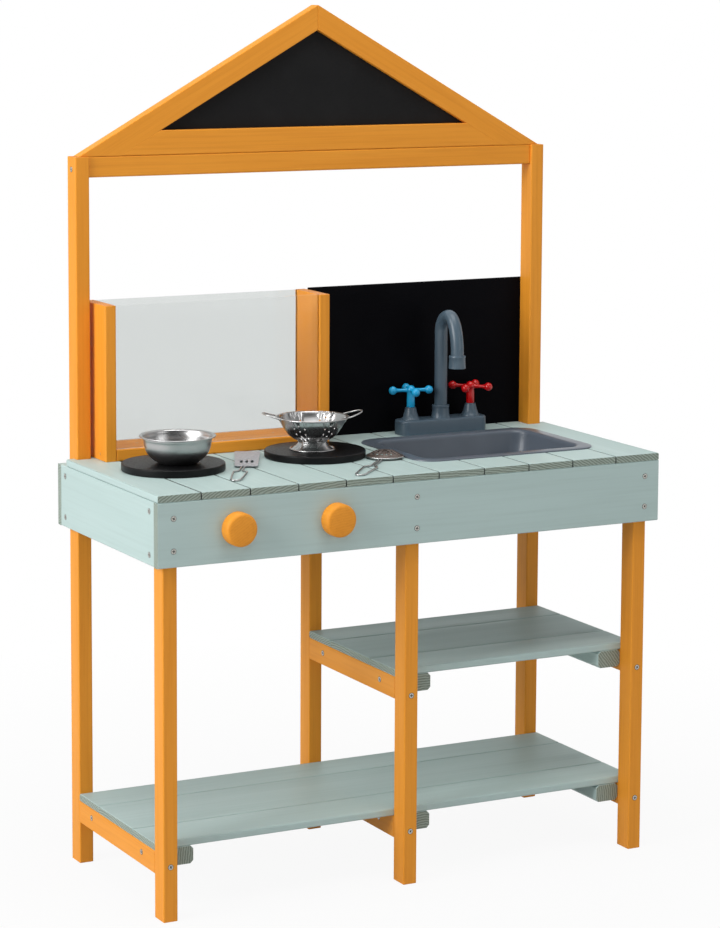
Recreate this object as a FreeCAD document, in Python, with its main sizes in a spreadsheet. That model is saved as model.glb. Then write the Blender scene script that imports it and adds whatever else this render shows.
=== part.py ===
import FreeCAD, Part
import math
import os
import re
import Sketcher

Vector = FreeCAD.Vector

# Driving sizes of the kitchen, in millimetres, with angles in degrees.
# Places across are measured from the table's left side, places back from its front face.
# A share is a part of the table's width.
SIZES = {
    # Table
    "table_width": 750.0,
    "table_depth": 336.0,
    "worktop_height": 560.0,
    "easing": 1.2,
    "screw_proud": 0.4,
    "running_gap": 0.3,
    "fit_clearance": 0.05,
    # Legs and posts
    "leg_width": 20.0,
    "leg_depth": 29.0,
    "leg_easing": 1.0,
    "middle_leg_share": 0.482667,
    "post_height": 967.0,
    # Aprons under the worktop
    "apron_height": 84.0,
    "apron_thickness": 12.0,
    # Worktop planks
    "plank_thickness": 10.0,
    "plank_gap": 1.2,
    "edge_plank_width": 61.0,
    "plank_overhang": 10.0,
    "notch_clearance": 0.4,
    "batten_width": 20.0,
    "batten_height": 20.0,
    # Shelves and the rails that carry them
    "lower_shelf_height": 98.0,
    "upper_shelf_height": 289.0,
    "rail_height": 30.5,
    "cleat_width": 35.0,
    "cleat_height": 24.0,
    "cleat_easing": 4.0,
    "shelf_rear_plank": 66.0,
    "shelf_front_plank": 71.0,
    # Roof
    "beam_height": 28.0,
    "roof_stock": 20.0,
    "roof_rail_height": 33.0,
    "rafter_width": 30.0,
    "roof_rise": 201.0,
    "roof_foot_inset": 18.0,
    "roof_board_thickness": 4.5,
    "roof_board_setback": 10.5,
    "groove_depth": 4.0,
    "groove_clearance": 0.2,
    # Rear chalkboard
    "rear_board_thickness": 5.0,
    "rear_board_height": 223.0,
    # Splash box
    "splash_place": 38.0,
    "splash_share": 0.448,
    "splash_depth": 78.0,
    "upright_thickness": 16.0,
    "upright_height": 210.5,
    "splash_board_thickness": 16.0,
    "pane_thickness": 3.0,
    "pane_setback": 3.5,
    # Hob discs
    "disc_share": 0.184,
    "disc_thickness": 10.0,
    "disc_easing": 1.0,
    "left_disc_share": 0.128667,
    "right_disc_share": 0.416,
    "disc_splash_gap": 9.0,
    "disc_stagger": 12.0,
    # Knobs and their bolts
    "knob_diameter": 44.0,
    "knob_depth": 18.7,
    "knob_easing": 4.0,
    "knob_drop": 50.5,
    "left_knob_share": 0.146667,
    "right_knob_share": 0.336,
    "knob_bolt_diameter": 5.0,
    "knob_bolt_grip": 12.0,
    "knob_bolt_head_diameter": 12.0,
    "knob_bolt_head_height": 3.0,
    # Sink basin
    "sink_share": 0.555333,
    "sink_width_share": 0.376,
    "sink_depth_share": 0.5952381,
    "sink_tap_gap": 5.0,
    "sink_corner": 25.0,
    "sink_flange": 20.0,
    "sink_flange_thickness": 2.0,
    "sink_wall": 2.0,
    "basin_depth": 74.0,
    "basin_draft": 12.0,
    "cutout_clearance": 3.0,
    # Tap
    "tap_shift": 11.5,
    "tap_wall_distance": 33.0,
    "tap_base_width": 138.6,
    "tap_base_depth": 36.0,
    "tap_base_height": 21.0,
    "tap_base_corner": 12.0,
    "tap_base_easing": 2.0,
    "handle_spacing": 97.4,
    "cone_diameter": 25.0,
    "cone_top_diameter": 14.8,
    "cone_height": 17.5,
    "handle_pin_diameter": 7.0,
    "handle_pin_length": 15.0,
    "stem_diameter": 11.6,
    "hub_rise": 24.5,
    "hub_diameter": 13.5,
    "hub_height": 8.0,
    "arm_diameter": 5.4,
    "arm_reach": 26.5,
    "arm_ball_diameter": 12.0,
    "cold_handle_angle": -13.4,
    "hot_handle_angle": -45.0,
    # Spout
    "spout_diameter": 18.4,
    "spout_bend": 23.6,
    "spout_bend_height": 145.0,
    "spout_outlet_height": 97.0,
    "spout_floor": 5.0,
    "spout_collar_diameter": 26.4,
    "spout_collar_top_diameter": 22.4,
    "spout_collar_height": 18.0,
    "spout_collar_step": 7.0,
    "outlet_diameter": 24.0,
    "outlet_top_diameter": 22.4,
    "outlet_height": 18.6,
    "outlet_bore": 14.0,
    # Bowl
    "bowl_shift_across": 3.5,
    "bowl_shift_forward": 6.0,
    "bowl_diameter": 102.0,
    "bowl_base_diameter": 50.0,
    "bowl_height": 37.0,
    "bowl_belly_diameter": 86.0,
    "bowl_belly_height": 17.0,
    "sheet_metal": 0.9,
    "rim_width": 2.5,
    # Colander
    "colander_shift_across": 4.0,
    "colander_diameter": 100.0,
    "colander_height": 45.5,
    "colander_neck_diameter": 39.0,
    "colander_neck_height": 12.0,
    "colander_belly_diameter": 80.0,
    "colander_belly_height": 25.0,
    "colander_foot_diameter": 62.0,
    "colander_foot_edge": 2.0,
    "colander_hole": 2.8,
    "colander_hole_pitch": 7.0,
    "colander_hole_height": 28.5,
    "colander_turn": -15.0,
    "loop_wire": 2.2,
    "loop_reach": 18.6,
    "loop_width": 38.0,
    "loop_tilt": 18.0,
    # Spatula
    "spatula_disc_distance": 19.0,
    "spatula_splash_gap": 12.267,
    "spatula_angle": 59.0,
    "spatula_length": 219.0,
    "spatula_blade_length": 102.0,
    "spatula_blade_width": 35.0,
    "spatula_neck_width": 31.0,
    "spatula_corner": 5.0,
    "spatula_slot_start": 20.0,
    "spatula_slot_length": 34.0,
    "spatula_slot_width": 3.5,
    "spatula_slot_pitch": 8.0,
    # Skimmer
    "skimmer_gap": 0.4,
    "skimmer_angle": 48.7,
    "skimmer_length": 173.2,
    "skimmer_diameter": 52.0,
    "skimmer_rise": 11.0,
    "skimmer_brim": 2.5,
    "skimmer_head_lift": 2.0,
    "skimmer_hole": 3.4,
    "skimmer_ring_diameter": 24.0,
    "skimmer_crown_diameter": 32.0,
    # Both utensils' wire handles
    "handle_wire": 2.4,
    "stem_spacing": 4.4,
    "handle_loop_length": 76.0,
    "handle_loop_width": 18.6,
    "handle_loop_end_width": 13.0,
    "handle_loop_taper": 9.0,
    # Wood screws
    "screw_head_diameter": 7.0,
    "screw_head_height": 2.6,
    "screw_shank_diameter": 3.4,
    "screw_length": 32.0,
    "rail_screw_height": 13.0,
}

# Places and sizes that follow from the driving ones, as the sheet's own formulas.
# The origin is the middle of the floor under the whole kitchen: across, back and up.
WORKED_OUT = {
    "left_side": "-table_width / 2",
    "right_side": "table_width / 2",
    "front_side": "(knob_depth + running_gap - table_depth - screw_proud) / 2",
    "back_side": "front_side + table_depth",
    "leg_front": "front_side + apron_thickness",
    "leg_rear": "leg_front + leg_depth",
    "post_back": "back_side - apron_thickness",
    "post_front": "post_back - leg_depth",
    "left_leg": "left_side + apron_thickness",
    "middle_leg": "left_side + table_width * middle_leg_share",
    "right_leg": "right_side - apron_thickness - leg_width",
    "bay_depth": "post_front - leg_rear",
    "apron_top": "worktop_height - plank_thickness",
    "apron_bottom": "apron_top - apron_height",
    "lower_rail_top": "lower_shelf_height - plank_thickness",
    "upper_rail_top": "upper_shelf_height - plank_thickness",
    "plank_pitch": "(table_width - edge_plank_width) / 10",
    "plank_length": "post_back - front_side",
    "sink_left": "left_side + table_width * sink_share",
    "sink_width": "table_width * sink_width_share",
    "sink_depth": "table_depth * sink_depth_share",
    "tap_line": "post_back - tap_wall_distance",
    "sink_front": "tap_line - tap_base_depth / 2 - sink_tap_gap - sink_depth",
    "cut_left": "sink_left + sink_flange - sink_wall - cutout_clearance",
    "cut_front": "sink_front + sink_flange - sink_wall - cutout_clearance",
    "cut_width": "sink_width - 2 * (sink_flange - sink_wall - cutout_clearance)",
    "cut_depth": "sink_depth - 2 * (sink_flange - sink_wall - cutout_clearance)",
    "roof_half_span": "table_width / 2 - roof_foot_inset",
    "roof_slope": "atan(roof_rise / roof_half_span)",
    "rafter_foot": "rafter_width / sin(roof_slope)",
    "rafter_mitre": "rafter_width / cos(roof_slope)",
    "inner_half_span": "roof_half_span - rafter_foot",
    "roof_rail_half_top": "inner_half_span - roof_rail_height / tan(roof_slope)",
    "roof_front": "post_front + (leg_depth - roof_stock) / 2",
    "roof_board_reach": "groove_depth * (1 + 1 / cos(roof_slope)) / tan(roof_slope)",
    "roof_board_half": "roof_rail_half_top + roof_board_reach",
    "roof_board_rise": "roof_rail_half_top * tan(roof_slope) + groove_depth * (1 + 1 / cos(roof_slope))",
    "splash_left": "left_side + splash_place",
    "splash_width": "table_width * splash_share",
    "splash_inner_width": "splash_width - 2 * upright_thickness",
    "splash_front": "back_side - splash_depth",
    "rear_board_left": "splash_left + splash_width + running_gap",
    "groove_width": "pane_thickness + 2 * groove_clearance",
    "pane_height": "upright_height - splash_board_thickness",
    "disc_diameter": "table_width * disc_share",
    "left_disc_across": "left_side + table_width * left_disc_share",
    "right_disc_across": "left_side + table_width * right_disc_share",
    "right_disc_back": "splash_front - disc_splash_gap - disc_diameter / 2",
    "left_disc_back": "right_disc_back - disc_stagger",
    "left_knob_across": "left_side + table_width * left_knob_share",
    "right_knob_across": "left_side + table_width * right_knob_share",
    "knob_height": "worktop_height - knob_drop",
    "tap_middle": "sink_left + sink_width / 2 + tap_shift",
    "tap_top": "worktop_height + tap_base_height",
    "spout_bottom": "spout_floor + running_gap",
    "spout_rise": "spout_bend_height - spout_bottom",
    "spout_drop": "spout_bend_height - spout_outlet_height - outlet_height / 2",
    "knob_bolt_length": "apron_thickness + 2 * running_gap + knob_bolt_grip",
    "handle_blade_start": "spatula_length - spatula_blade_length",
    "stem_offset": "stem_spacing / 2",
    "spatula_line": "disc_diameter / 2 + spatula_disc_distance",
    "spatula_end": "splash_front - spatula_splash_gap - spatula_blade_width / 2 * cos(spatula_angle)",
    "spatula_start": "spatula_end - spatula_length * sin(spatula_angle)",
    "spatula_reach": "(right_disc_back - spatula_start) * cos(spatula_angle)",
    "spatula_across": "right_disc_across - (spatula_line + spatula_reach) / sin(spatula_angle)",
    "head_across": "sink_left - skimmer_gap - skimmer_diameter / 2",
    "head_spread": "(disc_diameter + skimmer_diameter) / 2 + skimmer_gap",
    "head_back": "right_disc_back - sqrt(head_spread ^ 2 - (head_across - right_disc_across) ^ 2)",
    "skimmer_centre": "skimmer_length - skimmer_diameter / 2",
    "skimmer_across": "head_across - skimmer_centre * cos(skimmer_angle)",
    "skimmer_start": "head_back - skimmer_centre * sin(skimmer_angle)",
}

# How far along its axis each slice of a handle's ball lies and how wide it is, in radii and diameters.
BALL_SHARES = [("-0.9", "0.5"), ("0", "1"), ("0.9", "0.5")]

# The colander's flower of seven holes, row by row from the top: height and places, in hole pitches.
FLOWER_SHARES = [("1", ["0"]), ("0.5", ["-0.87", "0.87"]), ("0", ["0"]), ("-0.5", ["-0.87", "0.87"]),
                 ("-1", ["0"])]

NAMES = re.compile(r"\b(%s)\b" % "|".join(list(SIZES) + list(WORKED_OUT)))
START = 1
END = 2
CENTRE = 3
ORIGIN = -1
ACROSS_AXIS = -1
UP_AXIS = -2
SECTION_PLANES = {"X": "YZ_Plane", "Y": "XZ_Plane", "Z": "XY_Plane"}
PLAIN_PLANKS = 10
HANDLE_ARMS = 4
HOLE_GROUPS = 6
SKIMMER_HOLES = 8
SPATULA_SLOTS = 3
WIRE_SIDES = 8
HOLE_SIDES = 6
BALL_SIDES = 8
SCREW_SIDES = 8
BOLT_SIDES = 6
HUB_SIDES = 12
SPOUT_SIDES = 20

doc = FreeCAD.newDocument("mud_kitchen")
sheet = doc.addObject("Spreadsheet::Sheet", "sheet")


def fill_sheet():
    """Write the driving sizes as plain numbers and the rest as formulas, each with its alias."""
    rows = [(name, str(size)) for name, size in SIZES.items()]
    rows += [(name, "=" + formula) for name, formula in WORKED_OUT.items()]
    for row, (name, text) in enumerate(rows, START):
        sheet.set("A%d" % row, name)
        sheet.set("B%d" % row, text)
        sheet.setAlias("B%d" % row, name)
    doc.recompute()


def value(text):
    """Work out an expression over the sheet's names as a plain number."""
    result = sheet.evalExpression(text)
    return float(getattr(result, "Value", result))


def over_sheet(text):
    """Write an expression over the sheet's names for another object of the document."""
    return NAMES.sub(r"sheet.\1", text)


def tie(item, prop, text):
    """Tie one property of an object to an expression over the sheet's names."""
    item.setExpression(prop, over_sheet(text))


def place(item, across, back, up):
    """Tie where an object stands to the sheet."""
    tie(item, "Placement.Base.x", across)
    tie(item, "Placement.Base.y", back)
    tie(item, "Placement.Base.z", up)


def turn_body(item, angle):
    """Tie how far an object is turned about the upright axis to the sheet."""
    about_upright = FreeCAD.Rotation(Vector(0, 0, 1), abs(value(angle)))
    item.Placement = FreeCAD.Placement(Vector(0, 0, 0), about_upright)
    tie(item, "Placement.Rotation.Angle", angle)


def new_body(label):
    """Start one solid piece."""
    body = doc.addObject("PartDesign::Body", label)
    body.Label = label
    return body


def origin_item(body, role):
    """Find one of a body's own planes or axes."""
    return next(item for item in body.Origin.OriginFeatures if item.Role == role)


def new_sketch(body, role, name, raise_by="0"):
    """Start a sketch on one of the body's own planes, lifted along its normal."""
    sketch = body.newObject("Sketcher::SketchObject", name)
    sketch.AttachmentSupport = [(origin_item(body, role), "")]
    sketch.MapMode = "FlatFace"
    if raise_by != "0":
        tie(sketch, "AttachmentOffset.Base.z", raise_by)
    return sketch


def pin_point(sketch, line, end, across, up):
    """Hold one point of a sketch at two expressions, measured from the sketch's origin."""
    for kind, axis, text in (("DistanceX", UP_AXIS, across), ("DistanceY", ACROSS_AXIS, up)):
        if text == "0":
            sketch.addConstraint(Sketcher.Constraint("PointOnObject", line, end, axis))
            continue
        rule = Sketcher.Constraint(kind, ORIGIN, START, line, end, value(text))
        tie(sketch, "Constraints[%d]" % sketch.addConstraint(rule), text)


def outline(sketch, points, closed=True):
    """Draw straight lines through corners that are held at (across, up) expressions."""
    corners = [Vector(value(across), value(up), 0) for across, up in points]
    ends = corners[1:] + corners[:1] if closed else corners[1:]
    first = sketch.GeometryCount
    for low, high in zip(corners, ends):
        line = sketch.addGeometry(Part.LineSegment(low, high))
        if line > first:
            sketch.addConstraint(Sketcher.Constraint("Coincident", line - 1, END, line, START))
        pin_point(sketch, line, START, *points[line - first])
    last = sketch.GeometryCount - 1
    if closed:
        sketch.addConstraint(Sketcher.Constraint("Coincident", last, END, first, START))
    else:
        pin_point(sketch, last, END, *points[-1])


def eased_outline(sketch, width, height, easing):
    """Draw a timber's section: a rectangle from the origin with its four corners planed off."""
    outline(sketch, [
        (easing, "0"),
        ("%s - %s" % (width, easing), "0"),
        (width, easing),
        (width, "%s - %s" % (height, easing)),
        ("%s - %s" % (width, easing), height),
        (easing, height),
        ("0", "%s - %s" % (height, easing)),
        ("0", easing),
    ])


def box_outline(sketch, across, up, width, height):
    """Draw a plain rectangle from its low corner."""
    far_across = "%s + %s" % (across, width) if across != "0" else width
    far_up = "%s + %s" % (up, height) if up != "0" else height
    outline(sketch, [(across, up), (far_across, up), (far_across, far_up), (across, far_up)])


def rounded_outline(sketch, width, depth, corner):
    """Draw a rectangle centred on the origin with round corners."""
    half_width = value(width) / 2
    half_depth = value(depth) / 2
    radius = value(corner)
    first = sketch.GeometryCount
    inner = [(half_width - radius, radius - half_depth), (half_width - radius, half_depth - radius),
             (radius - half_width, half_depth - radius), (radius - half_width, radius - half_depth)]
    quarter = math.pi / 2
    for number, (across, up) in enumerate(inner):
        turn = quarter * (number - 1)
        circle = Part.Circle(Vector(across, up, 0), Vector(0, 0, 1), radius)
        arc = sketch.addGeometry(Part.ArcOfCircle(circle, turn, turn + quarter))
        if number:
            sketch.addConstraint(Sketcher.Constraint("Equal", first, arc))
    for number in range(len(inner)):
        arc = first + number
        after = first + (number + 1) % len(inner)
        low = sketch.getPoint(arc, END)
        high = sketch.getPoint(after, START)
        line = sketch.addGeometry(Part.LineSegment(low, high))
        sketch.addConstraint(Sketcher.Constraint("Tangent", arc, END, line, START))
        sketch.addConstraint(Sketcher.Constraint("Tangent", line, END, after, START))
        sketch.addConstraint(Sketcher.Constraint("Horizontal" if number % 2 else "Vertical", line))
    rule = Sketcher.Constraint("Radius", first, radius)
    tie(sketch, "Constraints[%d]" % sketch.addConstraint(rule), corner)
    pin_point(sketch, first, CENTRE, "(%s) / 2 - (%s)" % (width, corner), "%s - (%s) / 2" % (corner, depth))
    opposite = "%s - (%s) / 2" % (corner, width)
    pin_point(sketch, first + len(inner) // 2, CENTRE, opposite, "(%s) / 2 - (%s)" % (depth, corner))


def round_hole(sketch, across, up, diameter):
    """Draw one circle at two expressions."""
    place_now = Vector(value(across), value(up), 0)
    circle = sketch.addGeometry(Part.Circle(place_now, Vector(0, 0, 1), value(diameter) / 2))
    pin_point(sketch, circle, CENTRE, across, up)
    rule = Sketcher.Constraint("Diameter", circle, value(diameter))
    tie(sketch, "Constraints[%d]" % sketch.addConstraint(rule), diameter)


def many_sided(sketch, across, up, diameter, sides):
    """Draw a regular polygon about a centre, its corners on a circle of the given diameter."""
    step = 360 // sides
    turns = [step * number for number in range(sides)]
    outline(sketch, [("(%s) + (%s) / 2 * cos(%d)" % (across, diameter, turn),
                      "(%s) + (%s) / 2 * sin(%d)" % (up, diameter, turn)) for turn in turns])


def pad(body, sketch, length, backwards=False):
    """Raise a sketch into a solid."""
    feature = body.newObject("PartDesign::Pad", body.Label + "_pad")
    feature.Profile = sketch
    feature.Reversed = backwards
    tie(feature, "Length", length)
    return feature


def pocket(body, sketch, length, backwards=False):
    """Cut a sketch into the solid to a depth."""
    feature = body.newObject("PartDesign::Pocket", body.Label + "_pocket")
    feature.Profile = sketch
    feature.Reversed = backwards
    tie(feature, "Length", length)
    return feature


def turned(body, points, name="turning", cut=False):
    """Turn an outline of (radius, height) corners about the body's upright axis."""
    sketch = new_sketch(body, "XZ_Plane", name + "_outline")
    outline(sketch, points)
    kind = "PartDesign::Groove" if cut else "PartDesign::Revolution"
    feature = body.newObject(kind, body.Label + "_" + name)
    feature.Profile = sketch
    feature.ReferenceAxis = (sketch, ["V_Axis"])
    return feature


def timber(label, grain, corner, section, length, easing="easing"):
    """Plane one timber: an eased section run along its grain from its low corner."""
    body = new_body(label)
    sketch = new_sketch(body, SECTION_PLANES[grain], label + "_section")
    eased_outline(sketch, section[0], section[1], easing)
    pad(body, sketch, length, backwards=grain == "Y")
    place(body, *corner)
    return body


def cutter(label, corner, size):
    """Make a plain block that is taken out of other pieces."""
    block = doc.addObject("Part::Box", label)
    for prop, text in zip(("Length", "Width", "Height"), size):
        tie(block, prop, text)
    place(block, *corner)
    return block


def cut(label, base, tool):
    """Take one solid out of another and give what is left its own label."""
    piece = doc.addObject("Part::Cut", label)
    piece.Base = base
    piece.Tool = tool
    piece.Label = label
    return piece


def legs():
    """Make three front legs, the middle rear leg and the two tall rear posts."""
    section = ("leg_width", "leg_depth")
    stand = [("front_left_leg", "left_leg", "leg_front", "apron_top"),
             ("front_middle_leg", "middle_leg", "leg_front", "apron_top"),
             ("front_right_leg", "right_leg", "leg_front", "apron_top"),
             ("back_middle_leg", "middle_leg", "post_front", "apron_top"),
             ("back_left_post", "left_leg", "post_front", "post_height"),
             ("back_right_post", "right_leg", "post_front", "post_height")]
    return [timber(label, "Z", (across, back, "0"), section, height, "leg_easing")
            for label, across, back, height in stand]


def aprons():
    """Make the four boards round the top of the legs, the front one bored for the knob bolts."""
    section = ("apron_thickness", "apron_height")
    front = timber("front_apron", "X", ("left_side", "front_side", "apron_bottom"), section, "table_width")
    bores = new_sketch(front, "XZ_Plane", "knob_bolt_bores")
    for across in ("left_knob_across", "right_knob_across"):
        round_hole(bores, across + " - left_side", "knob_height - apron_bottom",
                   "knob_bolt_diameter + 2 * fit_clearance")
    pocket(front, bores, "apron_thickness")
    back = timber("back_apron", "X", ("left_side", "post_back", "apron_bottom"), section, "table_width")
    side_length = "post_back - leg_front"
    left = timber("left_apron", "Y", ("left_side", "leg_front", "apron_bottom"), section, side_length)
    corner = ("right_side - apron_thickness", "leg_front", "apron_bottom")
    right = timber("right_apron", "Y", corner, section, side_length)
    return [front, back, left, right]


def worktop():
    """Lay eleven planks from front to back, notched round the posts and cut out for the sink."""
    sink_hole = cutter("sink_cutout", ("cut_left", "cut_front", "apron_top - plank_thickness"),
                       ("cut_width", "cut_depth", "3 * plank_thickness"))
    notch_low = "apron_top - plank_thickness"
    around_post = ("leg_width + 2 * notch_clearance", "leg_depth + 2 * notch_clearance",
                   "3 * plank_thickness")
    side_strip = ("apron_thickness + leg_width", "leg_depth", "3 * plank_thickness")
    notches = {}
    for side, post, strip in (("left", "left_leg", "left_side"), ("right", "right_leg", "right_leg")):
        notch = doc.addObject("Part::Fuse", side + "_post_notch")
        corner = (post + " - notch_clearance", "post_front - notch_clearance", notch_low)
        notch.Base = cutter(side + "_post_room", corner, around_post)
        corner = (strip, "post_front + plank_overhang", notch_low)
        notch.Tool = cutter(side + "_end_room", corner, side_strip)
        notches[side] = notch
    planks = []
    for number in range(PLAIN_PLANKS + 1):
        label = "worktop_plank_%02d" % (number + 1)
        low = "left_side + edge_plank_width + %d * plank_pitch" % (number - 1) if number else "left_side"
        width = "plank_pitch" if number else "edge_plank_width"
        if number < PLAIN_PLANKS:
            width += " - plank_gap"
        over_sink = value(low + " + " + width) > value("cut_left")
        whole = label not in ("worktop_plank_01", "worktop_plank_11") and not over_sink
        plank = timber(label if whole else label + "_blank", "Y", (low, "front_side", "apron_top"),
                       (width, "plank_thickness"), "plank_length")
        if over_sink:
            opened = label if number < PLAIN_PLANKS else label + "_opened"
            plank = cut(opened, plank, sink_hole)
        if number in (0, PLAIN_PLANKS):
            plank = cut(label, plank, notches["right" if number else "left"])
        planks.append(plank)
    return planks


def shelf_rails():
    """Make the rails between front and rear legs, under the ends and middles of the shelves."""
    stand = [("lower_left_rail", "left_leg", "lower_rail_top"),
             ("lower_middle_rail", "middle_leg", "lower_rail_top"),
             ("lower_right_rail", "right_leg", "lower_rail_top"),
             ("upper_middle_rail", "middle_leg", "upper_rail_top"),
             ("upper_right_rail", "right_leg", "upper_rail_top")]
    return [timber(label, "Y", (across, "leg_rear", top + " - rail_height"), ("leg_width", "rail_height"),
                   "bay_depth", "leg_easing") for label, across, top in stand]


def support_battens():
    """Gather the seven battens that the planks are screwed to from below: five cleats beside the
    shelf rails and two long ones under the worktop."""
    cleats = [("left_leg + leg_width", "lower_rail_top"), ("middle_leg + leg_width", "lower_rail_top"),
              ("right_leg - cleat_width", "lower_rail_top"), ("middle_leg + leg_width", "upper_rail_top"),
              ("right_leg - cleat_width", "upper_rail_top")]
    pieces = [timber("shelf_cleat_%d" % number, "Y", (across, "leg_rear", top + " - cleat_height"),
                     ("cleat_width", "cleat_height"), "bay_depth", "cleat_easing")
              for number, (across, top) in enumerate(cleats)]
    for name, back in (("front", "leg_rear"), ("rear", "post_front - batten_width")):
        pieces.append(timber(name + "_worktop_batten", "X", ("left_leg", back, "apron_top - batten_height"),
                             ("batten_width", "batten_height"), "table_width - 2 * apron_thickness"))
    group = doc.addObject("Part::Compound", "support_battens")
    group.Links = pieces
    group.Label = "support_battens"
    return [group]


def shelf_planks():
    """Lay three planks from side to side on each shelf, flush with the rails' outer faces."""
    planks = []
    shelves = [("lower", "left_leg", "lower_rail_top"), ("upper", "middle_leg", "upper_rail_top")]
    for shelf, low, end in shelves:
        length = "right_leg + leg_width - " + low
        middle = "bay_depth - shelf_rear_plank - shelf_front_plank - plank_gap"
        rows = [("front", "leg_rear", "shelf_front_plank"),
                ("middle", "leg_rear + shelf_front_plank + plank_gap", middle),
                ("rear", "post_front - shelf_rear_plank + plank_gap", "shelf_rear_plank - plank_gap")]
        for row, back, width in rows:
            label = "%s_shelf_%s_plank" % (shelf, row)
            planks.append(timber(label, "X", (low, back, end), (width, "plank_thickness"), length))
    return planks


def roof_timber(label, points, panel_groove):
    """Saw one timber of the gable to its outline and groove it for the chalkboard."""
    body = new_body(label + "_blank")
    sketch = new_sketch(body, "XZ_Plane", label + "_outline")
    outline(sketch, points)
    pad(body, sketch, "roof_stock", backwards=True)
    place(body, "0", "roof_front", "post_height")
    return cut(label, body, panel_groove)


def gable_panel(label, clearance):
    """Make a triangle that reaches into the gable's grooves, larger all round by a clearance."""
    body = new_body(label)
    sketch = new_sketch(body, "XZ_Plane", label + "_outline")
    half = "(roof_board_half + (%s) / tan(roof_slope / 2))" % clearance
    rise = "roof_board_rise + (%s) * (1 + 1 / cos(roof_slope))" % clearance
    outline(sketch, [("-" + half, "0"), (half, "0"), ("0", rise)])
    pad(body, sketch, "roof_board_thickness + 2 * " + clearance, backwards=True)
    place(body, "0", "roof_front + roof_board_setback - " + clearance,
          "post_height + roof_rail_height - groove_depth - " + clearance)
    return body


def roof():
    """Make the beam between the posts and the gable above it with its chalkboard."""
    beam = timber("roof_crossbeam", "X", ("left_leg + leg_width", "roof_front", "post_height - beam_height"),
                  ("roof_stock", "beam_height"), "right_leg - left_leg - leg_width")
    board = gable_panel("roof_chalkboard", "0")
    groove = gable_panel("gable_groove", "groove_clearance")
    rail_points = [("-inner_half_span", "0"), ("inner_half_span", "0"),
                   ("roof_rail_half_top", "roof_rail_height"), ("-roof_rail_half_top", "roof_rail_height")]
    left_points = [("-roof_half_span", "0"), ("-inner_half_span", "0"),
                   ("0", "roof_rise - rafter_mitre"), ("0", "roof_rise")]
    right_points = [("inner_half_span", "0"), ("roof_half_span", "0"),
                    ("0", "roof_rise"), ("0", "roof_rise - rafter_mitre")]
    timbers = [("roof_bottom_rail", rail_points), ("left_rafter", left_points),
               ("right_rafter", right_points)]
    return [beam, board] + [roof_timber(label, points, groove) for label, points in timbers]


def rear_chalkboard():
    """Make the board behind the sink, standing on the rear apron."""
    return [timber("rear_chalkboard", "X", ("rear_board_left", "post_back", "apron_top"),
                   ("rear_board_thickness", "rear_board_height"),
                   "right_side - apron_thickness - rear_board_left", "leg_easing")]


def splash_box():
    """Make the open-topped box behind the hob: two grooved uprights, a board and two clear panes."""
    pieces = []
    pane_places = ("pane_setback", "splash_depth - pane_setback - pane_thickness")
    sides = [("splash_left_upright", "splash_left", "upright_thickness - groove_depth"),
             ("splash_right_upright", "splash_left + splash_width - upright_thickness", "0")]
    for label, across, groove in sides:
        upright = timber(label, "Z", (across, "splash_front", "worktop_height"),
                         ("upright_thickness", "splash_depth"), "upright_height")
        grooves = new_sketch(upright, "XY_Plane", label + "_grooves")
        for back in pane_places:
            box_outline(grooves, groove, back + " - groove_clearance", "groove_depth", "groove_width")
        pocket(upright, grooves, "upright_height", backwards=True)
        pieces.append(upright)
    pieces.append(timber("splash_bottom_board", "X",
                         ("splash_left + upright_thickness", "splash_front", "worktop_height"),
                         ("splash_depth", "splash_board_thickness"), "splash_inner_width"))
    low = "splash_left + upright_thickness - groove_depth + groove_clearance"
    for label, back in zip(("splash_front_pane", "splash_rear_pane"), pane_places):
        corner = (low, "splash_front + " + back, "worktop_height + splash_board_thickness")
        pane = doc.addObject("Part::Box", label)
        pane.Label = label
        tie(pane, "Length", "splash_inner_width + 2 * (groove_depth - groove_clearance)")
        tie(pane, "Width", "pane_thickness")
        tie(pane, "Height", "pane_height")
        place(pane, *corner)
        pieces.append(pane)
    return pieces


def hob_discs():
    """Turn the two wooden hob rings."""
    discs = []
    for side in ("left", "right"):
        disc = new_body(side + "_hob_disc")
        edge = "disc_diameter / 2"
        turned(disc, [("0", "0"), (edge, "0"), (edge, "disc_thickness - disc_easing"),
                      (edge + " - disc_easing", "disc_thickness"), ("0", "disc_thickness")])
        place(disc, side + "_disc_across", side + "_disc_back", "worktop_height")
        discs.append(disc)
    return discs


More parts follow.
